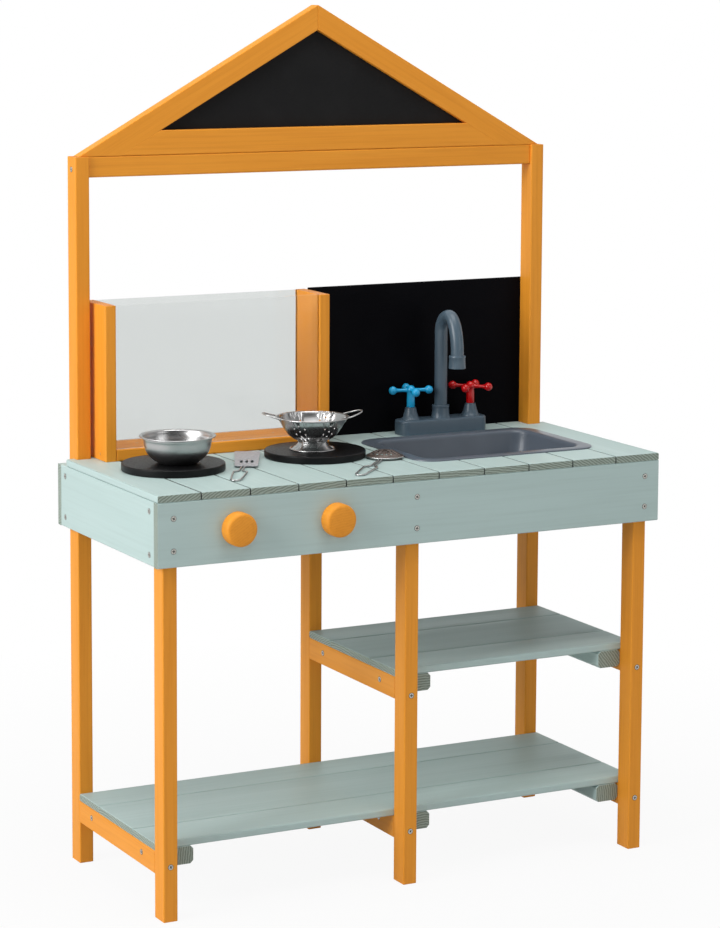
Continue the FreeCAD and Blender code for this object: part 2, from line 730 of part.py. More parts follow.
def knobs():
    """Turn two knobs with blind bores, and the bolts that hold them through the front apron."""
    quarter_turn = FreeCAD.Rotation(Vector(1, 0, 0), 90)
    pieces = []
    for side in ("left", "right"):
        across = side + "_knob_across"
        knob = new_body(side + "_knob")
        edge = "knob_diameter / 2"
        turned(knob, [("0", "0"), (edge, "0"), (edge, "knob_depth - knob_easing"),
                      (edge + " - knob_easing", "knob_depth"), ("0", "knob_depth")])
        turned(knob, [("0", "0"), ("knob_bolt_diameter / 2 + fit_clearance", "0"),
                      ("knob_bolt_diameter / 2 + fit_clearance", "knob_bolt_grip + running_gap"),
                      ("0", "knob_bolt_grip + running_gap")], "bolt_bore", cut=True)
        knob.Placement = FreeCAD.Placement(Vector(0, 0, 0), quarter_turn)
        place(knob, across, "front_side - running_gap", "knob_height")
        bolt = new_body(side + "_knob_bolt")
        head = new_sketch(bolt, "XY_Plane", side + "_bolt_head")
        many_sided(head, "0", "0", "knob_bolt_head_diameter", BOLT_SIDES)
        pad(bolt, head, "knob_bolt_head_height")
        shank = new_sketch(bolt, "XY_Plane", side + "_bolt_shank")
        round_hole(shank, "0", "0", "knob_bolt_diameter")
        pad(bolt, shank, "knob_bolt_head_height + knob_bolt_length")
        bolt.Placement = FreeCAD.Placement(Vector(0, 0, 0), quarter_turn)
        place(bolt, across, "leg_front + running_gap + knob_bolt_head_height", "knob_height")
        pieces += [knob, bolt]
    return pieces


def sink_basin():
    """Mould the basin: a flat flange with a drafted tub below it."""
    basin = new_body("sink_basin")
    flange = new_sketch(basin, "XY_Plane", "flange_outline")
    rounded_outline(flange, "sink_width", "sink_depth", "sink_corner")
    pad(basin, flange, "sink_flange_thickness")
    levels = [("rim", "sink_flange_thickness", "0"), ("floor", "-basin_depth", "basin_draft")]
    for name, kind, wall, lift in (("tub", "PartDesign::AdditiveLoft", "sink_wall", "0"),
                                   ("hollow", "PartDesign::SubtractiveLoft", "0", "sink_wall")):
        outlines = []
        for level, height, draft in levels:
            raised = height if level == "rim" else height + " + " + lift
            sketch = new_sketch(basin, "XY_Plane", name + "_" + level, raised)
            inset = "(sink_flange - %s + %s)" % (wall, draft)
            rounded_outline(sketch, "sink_width - 2 * " + inset, "sink_depth - 2 * " + inset, "sink_corner")
            outlines.append(sketch)
        loft = basin.newObject(kind, "sink_" + name)
        loft.Profile = outlines[0]
        loft.Sections = outlines[1:]
        loft.Ruled = True
    place(basin, "sink_left + sink_width / 2", "sink_front + sink_depth / 2", "worktop_height")
    return [basin]


def tap_base():
    """Mould the tap's base with a stepped collar for the spout and a cone under each handle."""
    base = new_body("tap_base")
    block = new_sketch(base, "XY_Plane", "base_outline")
    rounded_outline(block, "tap_base_width", "tap_base_depth", "tap_base_corner")
    pad(base, block, "tap_base_height - tap_base_easing")
    crown = [new_sketch(base, "XY_Plane", "base_shoulder", "tap_base_height - tap_base_easing"),
             new_sketch(base, "XY_Plane", "base_crown", "tap_base_height")]
    rounded_outline(crown[0], "tap_base_width", "tap_base_depth", "tap_base_corner")
    rounded_outline(crown[1], "tap_base_width - 2 * tap_base_easing", "tap_base_depth - 2 * tap_base_easing",
                    "tap_base_corner - tap_base_easing")
    top = base.newObject("PartDesign::AdditiveLoft", "base_top")
    top.Profile = crown[0]
    top.Sections = crown[1:]
    top.Ruled = True
    rise = "tap_base_height + "
    turned(base, [("0", "tap_base_height / 2"), ("spout_collar_diameter / 2", "tap_base_height / 2"),
                  ("spout_collar_diameter / 2", rise + "spout_collar_step - running_gap"),
                  ("spout_collar_top_diameter / 2 + running_gap", rise + "spout_collar_step"),
                  ("spout_collar_top_diameter / 2", rise + "spout_collar_height"),
                  ("0", rise + "spout_collar_height")], "collar")
    turned(base, [("0", "spout_floor"), ("spout_diameter / 2 + fit_clearance", "spout_floor"),
                  ("spout_diameter / 2 + fit_clearance", rise + "spout_collar_height + spout_floor"),
                  ("0", rise + "spout_collar_height + spout_floor")], "spout_bore", cut=True)
    for side in ("-", ""):
        name = "cold" if side else "hot"
        sketch = new_sketch(base, "XZ_Plane", name + "_cone_outline")
        middle = side + "handle_spacing / 2"
        outline(sketch, [(middle, "tap_base_height / 2"),
                         (middle + " + cone_diameter / 2", "tap_base_height / 2"),
                         (middle + " + cone_diameter / 2", "tap_base_height"),
                         (middle + " + cone_top_diameter / 2", rise + "cone_height"),
                         (middle, rise + "cone_height")])
        axis = sketch.addGeometry(Part.LineSegment(Vector(value(middle), 0, 0),
                                                   Vector(value(middle), value("cone_height"), 0)), True)
        pin_point(sketch, axis, START, middle, "0")
        pin_point(sketch, axis, END, middle, "cone_height")
        cone = base.newObject("PartDesign::Revolution", name + "_cone")
        cone.Profile = sketch
        cone.ReferenceAxis = (sketch, ["Axis0"])
        bore_sketch = new_sketch(base, "XY_Plane", name + "_pin_bore",
                                 rise + "cone_height - handle_pin_length")
        round_hole(bore_sketch, middle, "0", "handle_pin_diameter + 2 * fit_clearance")
        pocket(base, bore_sketch, "handle_pin_length", backwards=True)
    place(base, "tap_middle", "tap_line", "worktop_height")
    return [base]


def spout():
    """Bend the gooseneck tube, which turns in the base's collar, and give it its outlet ring."""
    body = new_body("tap_spout")
    section = new_sketch(body, "XY_Plane", "tube_section")
    many_sided(section, "0", "0", "spout_diameter", SPOUT_SIDES)
    route = new_sketch(body, "YZ_Plane", "tube_route")
    rise = value("spout_rise")
    bend = value("spout_bend")
    drop = value("spout_drop")
    up = route.addGeometry(Part.LineSegment(Vector(0, 0, 0), Vector(0, rise, 0)))
    circle = Part.Circle(Vector(bend, rise, 0), Vector(0, 0, 1), bend)
    over = route.addGeometry(Part.ArcOfCircle(circle, 0, math.pi))
    down = route.addGeometry(Part.LineSegment(Vector(2 * bend, rise, 0), Vector(2 * bend, rise - drop, 0)))
    pin_point(route, up, START, "0", "0")
    pin_point(route, up, END, "0", "spout_rise")
    route.addConstraint(Sketcher.Constraint("Tangent", up, END, over, END))
    route.addConstraint(Sketcher.Constraint("Coincident", over, START, down, START))
    pin_point(route, down, START, "2 * spout_bend", "spout_rise")
    pin_point(route, down, END, "2 * spout_bend", "spout_rise - spout_drop")
    tube = body.newObject("PartDesign::AdditivePipe", "spout_tube")
    tube.Profile = section
    tube.Spine = (route, ["Edge1", "Edge2", "Edge3"])
    outlet = "spout_outlet_height - spout_bottom"
    ring = body.newObject("PartDesign::AdditiveCone", "outlet_ring")
    ring.MapMode = "FlatFace"
    ring.AttachmentSupport = [(origin_item(body, "XY_Plane"), "")]
    tie(ring, "Radius1", "outlet_diameter / 2")
    tie(ring, "Radius2", "outlet_top_diameter / 2")
    tie(ring, "Height", "outlet_height")
    tie(ring, "AttachmentOffset.Base.y", "2 * spout_bend")
    tie(ring, "AttachmentOffset.Base.z", outlet)
    mouth = new_sketch(body, "XY_Plane", "outlet_mouth", outlet)
    round_hole(mouth, "0", "2 * spout_bend", "outlet_bore")
    pocket(body, mouth, "outlet_height", backwards=True)
    body.Placement = FreeCAD.Placement(Vector(0, 0, 0), FreeCAD.Rotation(Vector(0, 0, 1), 180))
    place(body, "tap_middle", "tap_line", "worktop_height + spout_bottom")
    return [body]


def tap_handles():
    """Make the cold and hot cross handles, each with a pin that turns in its cone."""
    handles = []
    for name, side in (("cold", "-"), ("hot", "+")):
        body = new_body(name + "_tap_handle")
        pin = "handle_pin_diameter / 2"
        turned(body, [("0", "0"), (pin, "0"), (pin, "handle_pin_length"),
                      ("stem_diameter / 2", "handle_pin_length"),
                      ("stem_diameter / 2", "handle_pin_length + hub_rise - hub_height / 2"),
                      ("0", "handle_pin_length + hub_rise - hub_height / 2")], "stem")
        hub = new_sketch(body, "XY_Plane", "hub_outline", "handle_pin_length + hub_rise - hub_height / 2")
        many_sided(hub, "0", "0", "hub_diameter", HUB_SIDES)
        pad(body, hub, "hub_height")
        level = "handle_pin_length + hub_rise"
        arm_sketch = new_sketch(body, "YZ_Plane", "arm_section")
        many_sided(arm_sketch, "0", level, "arm_diameter", BALL_SIDES)
        arm = pad(body, arm_sketch, "arm_reach")
        rounds = []
        for share, width in BALL_SHARES:
            slice_place = "arm_reach + arm_ball_diameter / 2 * %s" % share
            rounds.append(new_sketch(body, "YZ_Plane", "ball_section", slice_place))
            many_sided(rounds[-1], "0", level, "arm_ball_diameter * %s" % width, BALL_SIDES)
        ball = body.newObject("PartDesign::AdditiveLoft", "ball")
        ball.Profile = rounds[0]
        ball.Sections = rounds[1:]
        ball.Ruled = True
        cross = body.newObject("PartDesign::PolarPattern", "cross")
        cross.Originals = [arm, ball]
        cross.Axis = (origin_item(body, "Z_Axis"), [""])
        cross.Angle = 360
        cross.Occurrences = HANDLE_ARMS
        body.Tip = cross
        turn_body(body, name + "_handle_angle")
        place(body, "tap_middle %s handle_spacing / 2" % side, "tap_line",
              "tap_top + cone_height - handle_pin_length + running_gap")
        handles.append(body)
    return handles


def bowl():
    """Spin the bowl from sheet: a flat base, a round belly and an out-turned rim."""
    body = new_body("bowl")
    wall = "sheet_metal"
    turned(body, [("0", "0"), ("bowl_base_diameter / 2", "0"),
                  ("bowl_belly_diameter / 2", "bowl_belly_height"),
                  ("bowl_diameter / 2 - rim_width", "bowl_height - " + wall),
                  ("bowl_diameter / 2", "bowl_height - " + wall), ("bowl_diameter / 2", "bowl_height"),
                  ("bowl_diameter / 2 - rim_width - " + wall, "bowl_height"),
                  ("bowl_belly_diameter / 2 - " + wall, "bowl_belly_height + %s / 2" % wall),
                  ("bowl_base_diameter / 2 - %s / 2" % wall, wall), ("0", wall)])
    place(body, "left_disc_across + bowl_shift_across", "left_disc_back - bowl_shift_forward",
          "worktop_height + disc_thickness")
    return [body]


def wire_route(body, name, points, raise_by, role="XY_Plane"):
    """Lay a wire's centre line through corners on a plane of the body."""
    route = new_sketch(body, role, name, raise_by)
    outline(route, points, closed=False)
    return route


def sweep_wire(body, name, route, section, edge_count):
    """Run a wire along a route, mitred at its corners."""
    wire = body.newObject("PartDesign::AdditivePipe", name)
    wire.Profile = section
    wire.Spine = (route, ["Edge%d" % (number + 1) for number in range(edge_count)])
    wire.Transition = "Right corner"
    return wire


def colander():
    """Spin the colander on its foot, punch its groups of holes and add two wire loops."""
    body = new_body("colander")
    wall = "sheet_metal"
    neck = "colander_neck_diameter / 2"
    belly = "colander_belly_diameter / 2"
    rim = "colander_diameter / 2"
    foot = "colander_foot_diameter / 2"
    turned(body, [("0", "colander_neck_height"), (neck + " - " + wall, "colander_neck_height"),
                  (foot + " - " + wall, "0"), (foot, "0"), (foot, "colander_foot_edge"),
                  (neck, "colander_neck_height"), (belly, "colander_belly_height"),
                  (rim + " - rim_width", "colander_height - " + wall), (rim, "colander_height - " + wall),
                  (rim, "colander_height"), (rim + " - rim_width - " + wall, "colander_height"),
                  (belly + " - " + wall, "colander_belly_height + %s / 2" % wall),
                  (neck + " - %s / 2" % wall, "colander_neck_height + " + wall),
                  ("0", "colander_neck_height + " + wall)])
    rows = []
    for share, places in FLOWER_SHARES:
        level = "colander_hole_height + colander_hole_pitch * %s + colander_hole / 2" % share
        row = new_sketch(body, "XY_Plane", "hole_row", level)
        for side in places:
            low = "(colander_hole_pitch * %s - colander_hole / 2)" % side
            high = "(colander_hole_pitch * %s + colander_hole / 2)" % side
            inner = neck + " + " + wall
            outline(row, [(inner, "%s * (%s) / (%s)" % (low, inner, rim)), (rim, low),
                          (rim, high), (inner, "%s * (%s) / (%s)" % (high, inner, rim))])
        rows.append(pocket(body, row, "colander_hole"))
    ring = body.newObject("PartDesign::PolarPattern", "hole_groups")
    ring.Originals = rows
    ring.Axis = (origin_item(body, "Z_Axis"), [""])
    ring.Angle = 360
    ring.Occurrences = HOLE_GROUPS
    body.Tip = ring
    reach = rim + " + loop_reach"
    inner = "(%s - 2 * rim_width)" % rim
    for name, side, tilt in (("left", "-", "loop_tilt"), ("right", "", "-loop_tilt")):
        half = "loop_width / 2"
        start = side + inner + " / cos(loop_tilt)"
        far = side + "(%s - loop_wire / 2) / cos(loop_tilt)" % reach
        bend = side + "(%s - loop_wire / 2 - loop_width / 4) / cos(loop_tilt)" % reach
        section = new_sketch(body, "YZ_Plane", name + "_loop_section", side + inner)
        level = "colander_height - loop_wire * 3 / 4"
        many_sided(section, "-" + half, level, "loop_wire", WIRE_SIDES)
        points = [(start, "-" + half), (bend, "-" + half), (far, "-%s / 2" % half), (far, "%s / 2" % half),
                  (bend, half), (start, half)]
        route = wire_route(body, name + "_loop_route", points, "%s - %s * tan(loop_tilt)" % (level, inner))
        route.AttachmentOffset.Rotation = FreeCAD.Rotation(Vector(0, 1, 0), value("loop_tilt"))
        tie(route, "AttachmentOffset.Rotation.Angle", tilt)
        sweep_wire(body, name + "_loop", route, section, len(points) - 1)
    turn_body(body, "colander_turn")
    place(body, "right_disc_across - colander_shift_across", "right_disc_back",
          "worktop_height + disc_thickness")
    return [body]


def handle_loop(body, stem_end):
    """Bend the open wire loop and the straight stem of a utensil along the body's X axis."""
    half = "handle_loop_width / 2"
    end_half = "handle_loop_end_width / 2"
    level = "handle_wire / 2"
    section = new_sketch(body, "YZ_Plane", "wire_section", stem_end)
    many_sided(section, "stem_offset", level, "handle_wire", WIRE_SIDES)
    neck = "handle_loop_length"
    points = [(stem_end, "stem_offset"), (neck, "stem_offset"), (neck + " - handle_loop_taper", half),
              ("handle_loop_taper", end_half), ("handle_wire / 2", end_half + " / 2"),
              ("handle_wire / 2", "-%s / 2" % end_half), ("handle_loop_taper", "-" + end_half),
              (neck + " - handle_loop_taper", "-" + half), (neck, "-stem_offset"),
              (stem_end, "-stem_offset")]
    route = wire_route(body, "wire_route", points, level)
    sweep_wire(body, "wire_loop", route, section, len(points) - 1)


def lay_utensil(body, name):
    """Lay a utensil on the worktop at its own angle."""
    turn_body(body, name + "_angle")
    place(body, name + "_across", name + "_start", "worktop_height + running_gap")


def spatula():
    """Make the spatula: a slotted blade that widens to its edge, on a bent wire handle."""
    body = new_body("spatula")
    handle_loop(body, "handle_blade_start + spatula_blade_length / 10")
    blade = new_sketch(body, "XY_Plane", "blade_outline")
    neck = "spatula_neck_width / 2"
    corner = "handle_blade_start + spatula_corner"
    far = "spatula_blade_width / 2"
    outline(blade, [("handle_blade_start", "spatula_corner - " + neck), (corner, "-" + neck),
                    ("spatula_length", "-" + far), ("spatula_length", far),
                    (corner, neck), ("handle_blade_start", neck + " - spatula_corner")])
    pad(body, blade, "sheet_metal")
    slots = new_sketch(body, "XY_Plane", "blade_slots")
    low = "(handle_blade_start + spatula_slot_start)"
    for number in range(SPATULA_SLOTS):
        side = "(%d * spatula_slot_pitch - spatula_slot_width / 2)" % (number - SPATULA_SLOTS // 2)
        box_outline(slots, low, side, "spatula_slot_length", "spatula_slot_width")
    pocket(body, slots, "handle_wire", backwards=True)
    lay_utensil(body, "spatula")
    return [body]


def skimmer():
    """Make the skimmer: a domed head with a brim and rings of holes, on a bent wire handle."""
    body = new_body("skimmer")
    head = new_sketch(body, "XZ_Plane", "head_outline")
    middle = "skimmer_centre"
    radius = "skimmer_diameter / 2"
    lift = "skimmer_head_lift"
    crown = "skimmer_crown_diameter / 2"
    outline(head, [(middle, "skimmer_rise - sheet_metal"), (middle, "skimmer_rise"),
                   (middle + " + " + crown, "skimmer_rise"),
                   (middle + " + " + radius, lift + " + sheet_metal"), (middle + " + " + radius, lift),
                   (middle + " + %s - skimmer_brim" % radius, lift),
                   (middle + " + %s - sheet_metal / 2" % crown, "skimmer_rise - sheet_metal")])
    axis = head.addGeometry(Part.LineSegment(Vector(value(middle), 0, 0),
                                             Vector(value(middle), value("skimmer_rise"), 0)), True)
    pin_point(head, axis, START, middle, "0")
    pin_point(head, axis, END, middle, "skimmer_rise")
    dome = body.newObject("PartDesign::Revolution", "dome")
    dome.Profile = head
    dome.ReferenceAxis = (head, ["Axis0"])
    holes = new_sketch(body, "XY_Plane", "head_holes")
    many_sided(holes, middle, "0", "skimmer_hole", HOLE_SIDES)
    for number in range(SKIMMER_HOLES):
        turn = "%d * %d" % (number, round(360 / SKIMMER_HOLES))
        across = middle + " + skimmer_ring_diameter / 2 * cos(%s)" % turn
        many_sided(holes, across, "skimmer_ring_diameter / 2 * sin(%s)" % turn, "skimmer_hole", HOLE_SIDES)
    pocket(body, holes, "skimmer_rise", backwards=True)
    handle_loop(body, "skimmer_length - skimmer_diameter + skimmer_brim")
    lay_utensil(body, "skimmer")
    return [body]


def screw_places():
    """List each wood screw: where its head lies and which way it goes in."""
    half_leg = "leg_width / 2"
    screws = []
    for leg in ("left_leg", "middle_leg", "right_leg"):
        for share in ("3 / 4", "1 / 4"):
            level = "apron_bottom + apron_height * " + share
            screws.append((leg + " + " + half_leg, "front_side", level, "back"))
            screws.append((leg + " + " + half_leg, "back_side", level, "front"))
        levels = ["lower_rail_top - rail_height / 2"]
        if leg != "left_leg":
            levels.append("upper_rail_top - rail_height * 2 / 3")
        for level in levels:
            screws.append((leg + " + " + half_leg, "leg_front", level, "back"))
            screws.append((leg + " + " + half_leg, "post_back", level, "front"))
    for side, inward in (("left_side", "right"), ("right_side", "left")):
        for back in ("leg_front + leg_depth / 2", "post_front + leg_depth / 2"):
            for share in ("5 / 6", "1 / 6"):
                screws.append((side, back, "apron_bottom + apron_height * " + share, inward))
    rails = [("left_leg", "right", "lower_rail_top"), ("middle_leg", "right", "lower_rail_top"),
             ("right_leg + leg_width", "left", "lower_rail_top"), ("middle_leg", "right", "upper_rail_top"),
             ("right_leg + leg_width", "left", "upper_rail_top")]
    for face, inward, top in rails:
        for share in ("1 / 6", "5 / 6"):
            screws.append((face, "leg_rear + bay_depth * " + share, top + " - rail_screw_height", inward))
    level = "post_height - beam_height * 3 / 5"
    screws.append(("left_leg", "post_front + leg_depth / 2", level, "right"))
    screws.append(("right_leg + leg_width", "post_front + leg_depth / 2", level, "left"))
    return screws


def wood_screws():
    """Drive the identical countersunk screws that hold the timbers."""
    head = value("screw_head_diameter") / 2
    shank = value("screw_shank_diameter") / 2
    proud = value("screw_proud")
    below = value("screw_head_height")
    point = value("screw_length")
    rings = []
    for radius, height in ((head, proud), (shank, -below)):
        turns = [2 * math.pi * number / SCREW_SIDES for number in range(SCREW_SIDES)]
        corners = [Vector(radius * math.cos(turn), radius * math.sin(turn), height) for turn in turns]
        rings.append(Part.makePolygon(corners + corners[:1]))
    countersink = Part.makeLoft(rings, True, True)
    tip = Part.makeLoft([rings[1], Part.Vertex(0, 0, -point)], True, True)
    screw = countersink.fuse(tip).removeSplitter()
    outward = {"back": Vector(0, -1, 0), "front": Vector(0, 1, 0),
               "right": Vector(-1, 0, 0), "left": Vector(1, 0, 0)}
    copies = []
    for across, back, up, way in screw_places():
        turn = FreeCAD.Rotation(Vector(0, 0, 1), outward[way])
        spot = FreeCAD.Placement(Vector(value(across), value(back), value(up)), turn)
        copies.append(screw.transformed(spot.toMatrix(), True))
    group = doc.addObject("Part::Feature", "wood_screws")
    group.Shape = Part.makeCompound(copies)
    group.Placement = FreeCAD.Placement()
    group.Label = "wood_screws"
    return [group]


def build_all():
    """Build every sub-part and return the objects whose shapes are handed on."""
    fill_sheet()
    pieces = legs() + aprons() + worktop() + shelf_rails() + support_battens() + shelf_planks()
    pieces += roof() + rear_chalkboard() + splash_box() + hob_discs() + knobs()
    pieces += sink_basin() + tap_base() + spout() + tap_handles()
    pieces += bowl() + colander() + spatula() + skimmer() + wood_screws()
    doc.recompute()
    return pieces


def check(pieces):
    """Stop if any object failed to build or any piece is empty or not a sound solid."""
    for item in doc.Objects:
        if "Invalid" in item.State or "Error" in item.State:
            raise RuntimeError("%s did not build: %s" % (item.Label, item.State))
    for piece in pieces:
        if piece.Shape.isNull() or not piece.Shape.isValid() or not piece.Shape.Solids:
            raise RuntimeError("%s has no sound solid" % piece.Label)


def write_parts(pieces):
    """Write each piece to its own file."""
    os.makedirs("parts", exist_ok=True)
    for piece in pieces:
        piece.Shape.exportStep("parts/%s.step" % piece.Label)
    print("wrote %d pieces" % len(pieces))


PIECES = build_all()
check(PIECES)
write_parts(PIECES)
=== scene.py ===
import math

import bmesh
import bpy
from mathutils import Matrix, Vector, geometry

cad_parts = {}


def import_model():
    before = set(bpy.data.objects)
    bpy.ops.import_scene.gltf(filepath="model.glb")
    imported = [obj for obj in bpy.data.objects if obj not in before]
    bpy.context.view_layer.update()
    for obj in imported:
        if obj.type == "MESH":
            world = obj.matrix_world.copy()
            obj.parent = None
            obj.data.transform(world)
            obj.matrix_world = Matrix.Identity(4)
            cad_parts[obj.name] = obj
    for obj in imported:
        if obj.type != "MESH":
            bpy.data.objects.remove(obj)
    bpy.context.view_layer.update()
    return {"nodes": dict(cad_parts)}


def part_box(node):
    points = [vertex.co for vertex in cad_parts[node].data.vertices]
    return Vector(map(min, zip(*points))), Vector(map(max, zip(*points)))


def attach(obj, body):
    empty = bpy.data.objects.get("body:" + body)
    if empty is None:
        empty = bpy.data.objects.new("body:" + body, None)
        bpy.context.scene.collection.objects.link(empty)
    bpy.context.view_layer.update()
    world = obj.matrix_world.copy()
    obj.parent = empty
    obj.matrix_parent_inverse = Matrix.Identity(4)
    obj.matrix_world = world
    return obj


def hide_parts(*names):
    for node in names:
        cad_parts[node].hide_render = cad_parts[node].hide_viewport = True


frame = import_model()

MM = 0.001
NODES = frame["nodes"]
WHITE = (1.0, 1.0, 1.0, 1.0)

# Camera: the photograph's own place, angles, focal length and lens shift.
CAMERA_PLACE = Vector((-1832.8, -3487.1, 1226.3)) * MM
CAMERA_YAW = math.radians(27.647)
CAMERA_PITCH = math.radians(-7.052)
CAMERA_ROLL = math.radians(0.294)
CAMERA_LENS = 113.7
CAMERA_SENSOR = 36.0
CAMERA_SHIFT_UP = -0.15

# Paint, plastic and metal colours, as linear red, green and blue.
ORANGE = (0.86, 0.335, 0.030)
ORANGE_GRAIN = (0.68, 0.225, 0.015)
MINT = (0.47, 0.60, 0.582)
MINT_GRAIN = (0.40, 0.515, 0.495)
MINT_END_LIGHT = (0.35, 0.42, 0.365)
MINT_END_DARK = (0.15, 0.18, 0.15)
ORANGE_END_LIGHT = (0.68, 0.235, 0.022)
ORANGE_END_DARK = (0.44, 0.13, 0.012)
JOINT_SHADOW = (0.035, 0.04, 0.035)
BLACK_PAINT = (0.004, 0.004, 0.0045)
# The two chalkboards carry one black paint: the roof's copy is painted lighter as lit, and the rear's darker
# as in shade.
ROOF_BLACK_PAINTED_LIT = (0.0085, 0.0085, 0.009)
REAR_BLACK_PAINTED_SHADE = (0.0022, 0.0022, 0.0032)
FRONT_PANE = (0.93, 0.935, 0.935)
REAR_PANE = (0.705, 0.730, 0.720)
TAP_GREY = (0.080, 0.122, 0.160)
SINK_GREY = (0.098, 0.120, 0.150)
TAP_BLUE = (0.012, 0.41, 0.76)
TAP_RED = (0.60, 0.002, 0.004)
STEEL = (0.50, 0.50, 0.50)
STRAINER_STEEL = (0.17, 0.142, 0.13)
BLADE_STEEL = (0.60, 0.60, 0.63)
SCREW_STEEL = (0.55, 0.54, 0.50)
SCREW_SHADOW = (0.03, 0.03, 0.028)
FLOOR_GREY = (0.60, 0.60, 0.60, 1.0)

# Pattern scales per metre, and the clear sheet's refractive index.
GRAIN_ALONG = 6.0
GRAIN_ACROSS = 260.0
CLOUD_ALONG = 2.0
CLOUD_ACROSS = 34.0
RING_SCALE = 92.0
PANE_INDEX = 1.20

# Details that are built here: lengths in millimetres, angles in radians, shares and counts.
SEGMENTS = 96
DISC_SEGMENTS = 128
EDGE_SOFTNESS = 0.7
PLANK_SOFTNESS = 1.1
SEAM_SOFTNESS = 1.3
SHEET_SOFTNESS = 0.4
KNOB_ROUND = 5.0
DISC_ROUND = 1.6
METAL_SHEET = 0.9
RIM_ROLL = 1.5
RIM_WIRE = 0.9
SPIN_CENTRE = 50.0
CORNER_SHARE = 0.49
HOLE_SIDES = 14
HOLE_GUARD = 1.35
HOLE_INSIDE = 0.96
SHEET_ROW = 2.2
COLANDER_RADIUS = 50.0
COLANDER_HEIGHT = 45.5
COLANDER_TURN = math.radians(-15.0)
COLANDER_NECK = 18.5
COLANDER_FOOT_HEIGHT = 12.0
COLANDER_HOLE = 2.5
COLANDER_PITCH = 9.0
COLANDER_GROUPS = 6
COLANDER_FLOWER_TURN = math.radians(23.0)
COLANDER_FLOWER_SHARE = 0.59
COLANDER_FLOWER_RADIUS = 41.0
COLANDER_LOOP_TILT = math.radians(18.0)
COLANDER_LOOP_REACH = 68.6
COLANDER_LOOP_BEND = 9.0
COLANDER_WIRE = 1.98
UTENSIL_WIRE = 2.4
STEM_HALF_SPACING = 2.2
STEM_BEND = 3.0
SPATULA_PLACE = (-244.4, -109.7)
SPATULA_TURN = math.radians(59.0)
SPATULA_STEM = 116.0
BLADE_PLACE = (105.0, -4.5, 1.6)
BLADE_TURN = math.radians(5.0)
BLADE_LEAN = math.radians(-0.5)
BLADE_LENGTH = 113.0
BLADE_SHEET = 0.9
BLADE_CORNER = 5.0
SLOT_START = 24.0
SLOT_END = 42.0
SLOT_WIDTH = 3.5
SLOT_PITCH = 7.2
SLOT_CORNER = 1.6
SKIMMER_PLACE = (-82.05, -144.1)
SKIMMER_TURN = math.radians(48.7)
SKIMMER_STEM = 123.7
SKIMMER_HEAD_AT = 147.2
SKIMMER_SHEET = 0.8
SKIMMER_HOLE = 3.3
SKIMMER_RIM = 25.0
SKIMMER_RIM_HEIGHT = 3.0
SINK_FLANGE = 20.0
SINK_LIP = 1.6
SINK_FOLD = 6.0
SINK_FLOOR_FOLD = 14.0
SINK_DRAFT = 12.0
SINK_WALL = 2.0
TAP_BLOCK = 21.0
TAP_CORNER = 12.0
TAP_SOFT = 2.8
TAP_CONE = 17.5
SPOUT_RADIUS = 9.2
SPOUT_BEND = 23.6
SPOUT_FALL = 52.0
SPOUT_OUTLET = 91.7
HANDLE_HUB = 24.5
SCREW_HEAD = 7.0
SCREW_RECESS = 1.5
SCREW_SLOT = 0.62
SCREW_CROSS = 2.15
SCREW_SIDES = 28
SMALL_SCREW = 0.55
SMALL_SCREW_SPOTS = (((-275.0, 140.3, 576.05), (0, 0, 1)), ((-69.0, 140.3, 576.05), (0, 0, 1)),
                     ((-337.05, 119.3, 569.0), (-1, 0, 0)))

# The surroundings: soft light, the dimmest reflection, and the floor's reach and white, in metres and shares.
SOFT_LIGHT = 0.30
FRONT_GLOSS = 0.10
FLOOR_HALF = 6.0
FLOOR_NEAR = 0.4
FLOOR_FAR = 1.3
FLOOR_NEAR_WHITE = 0.93


# Materials

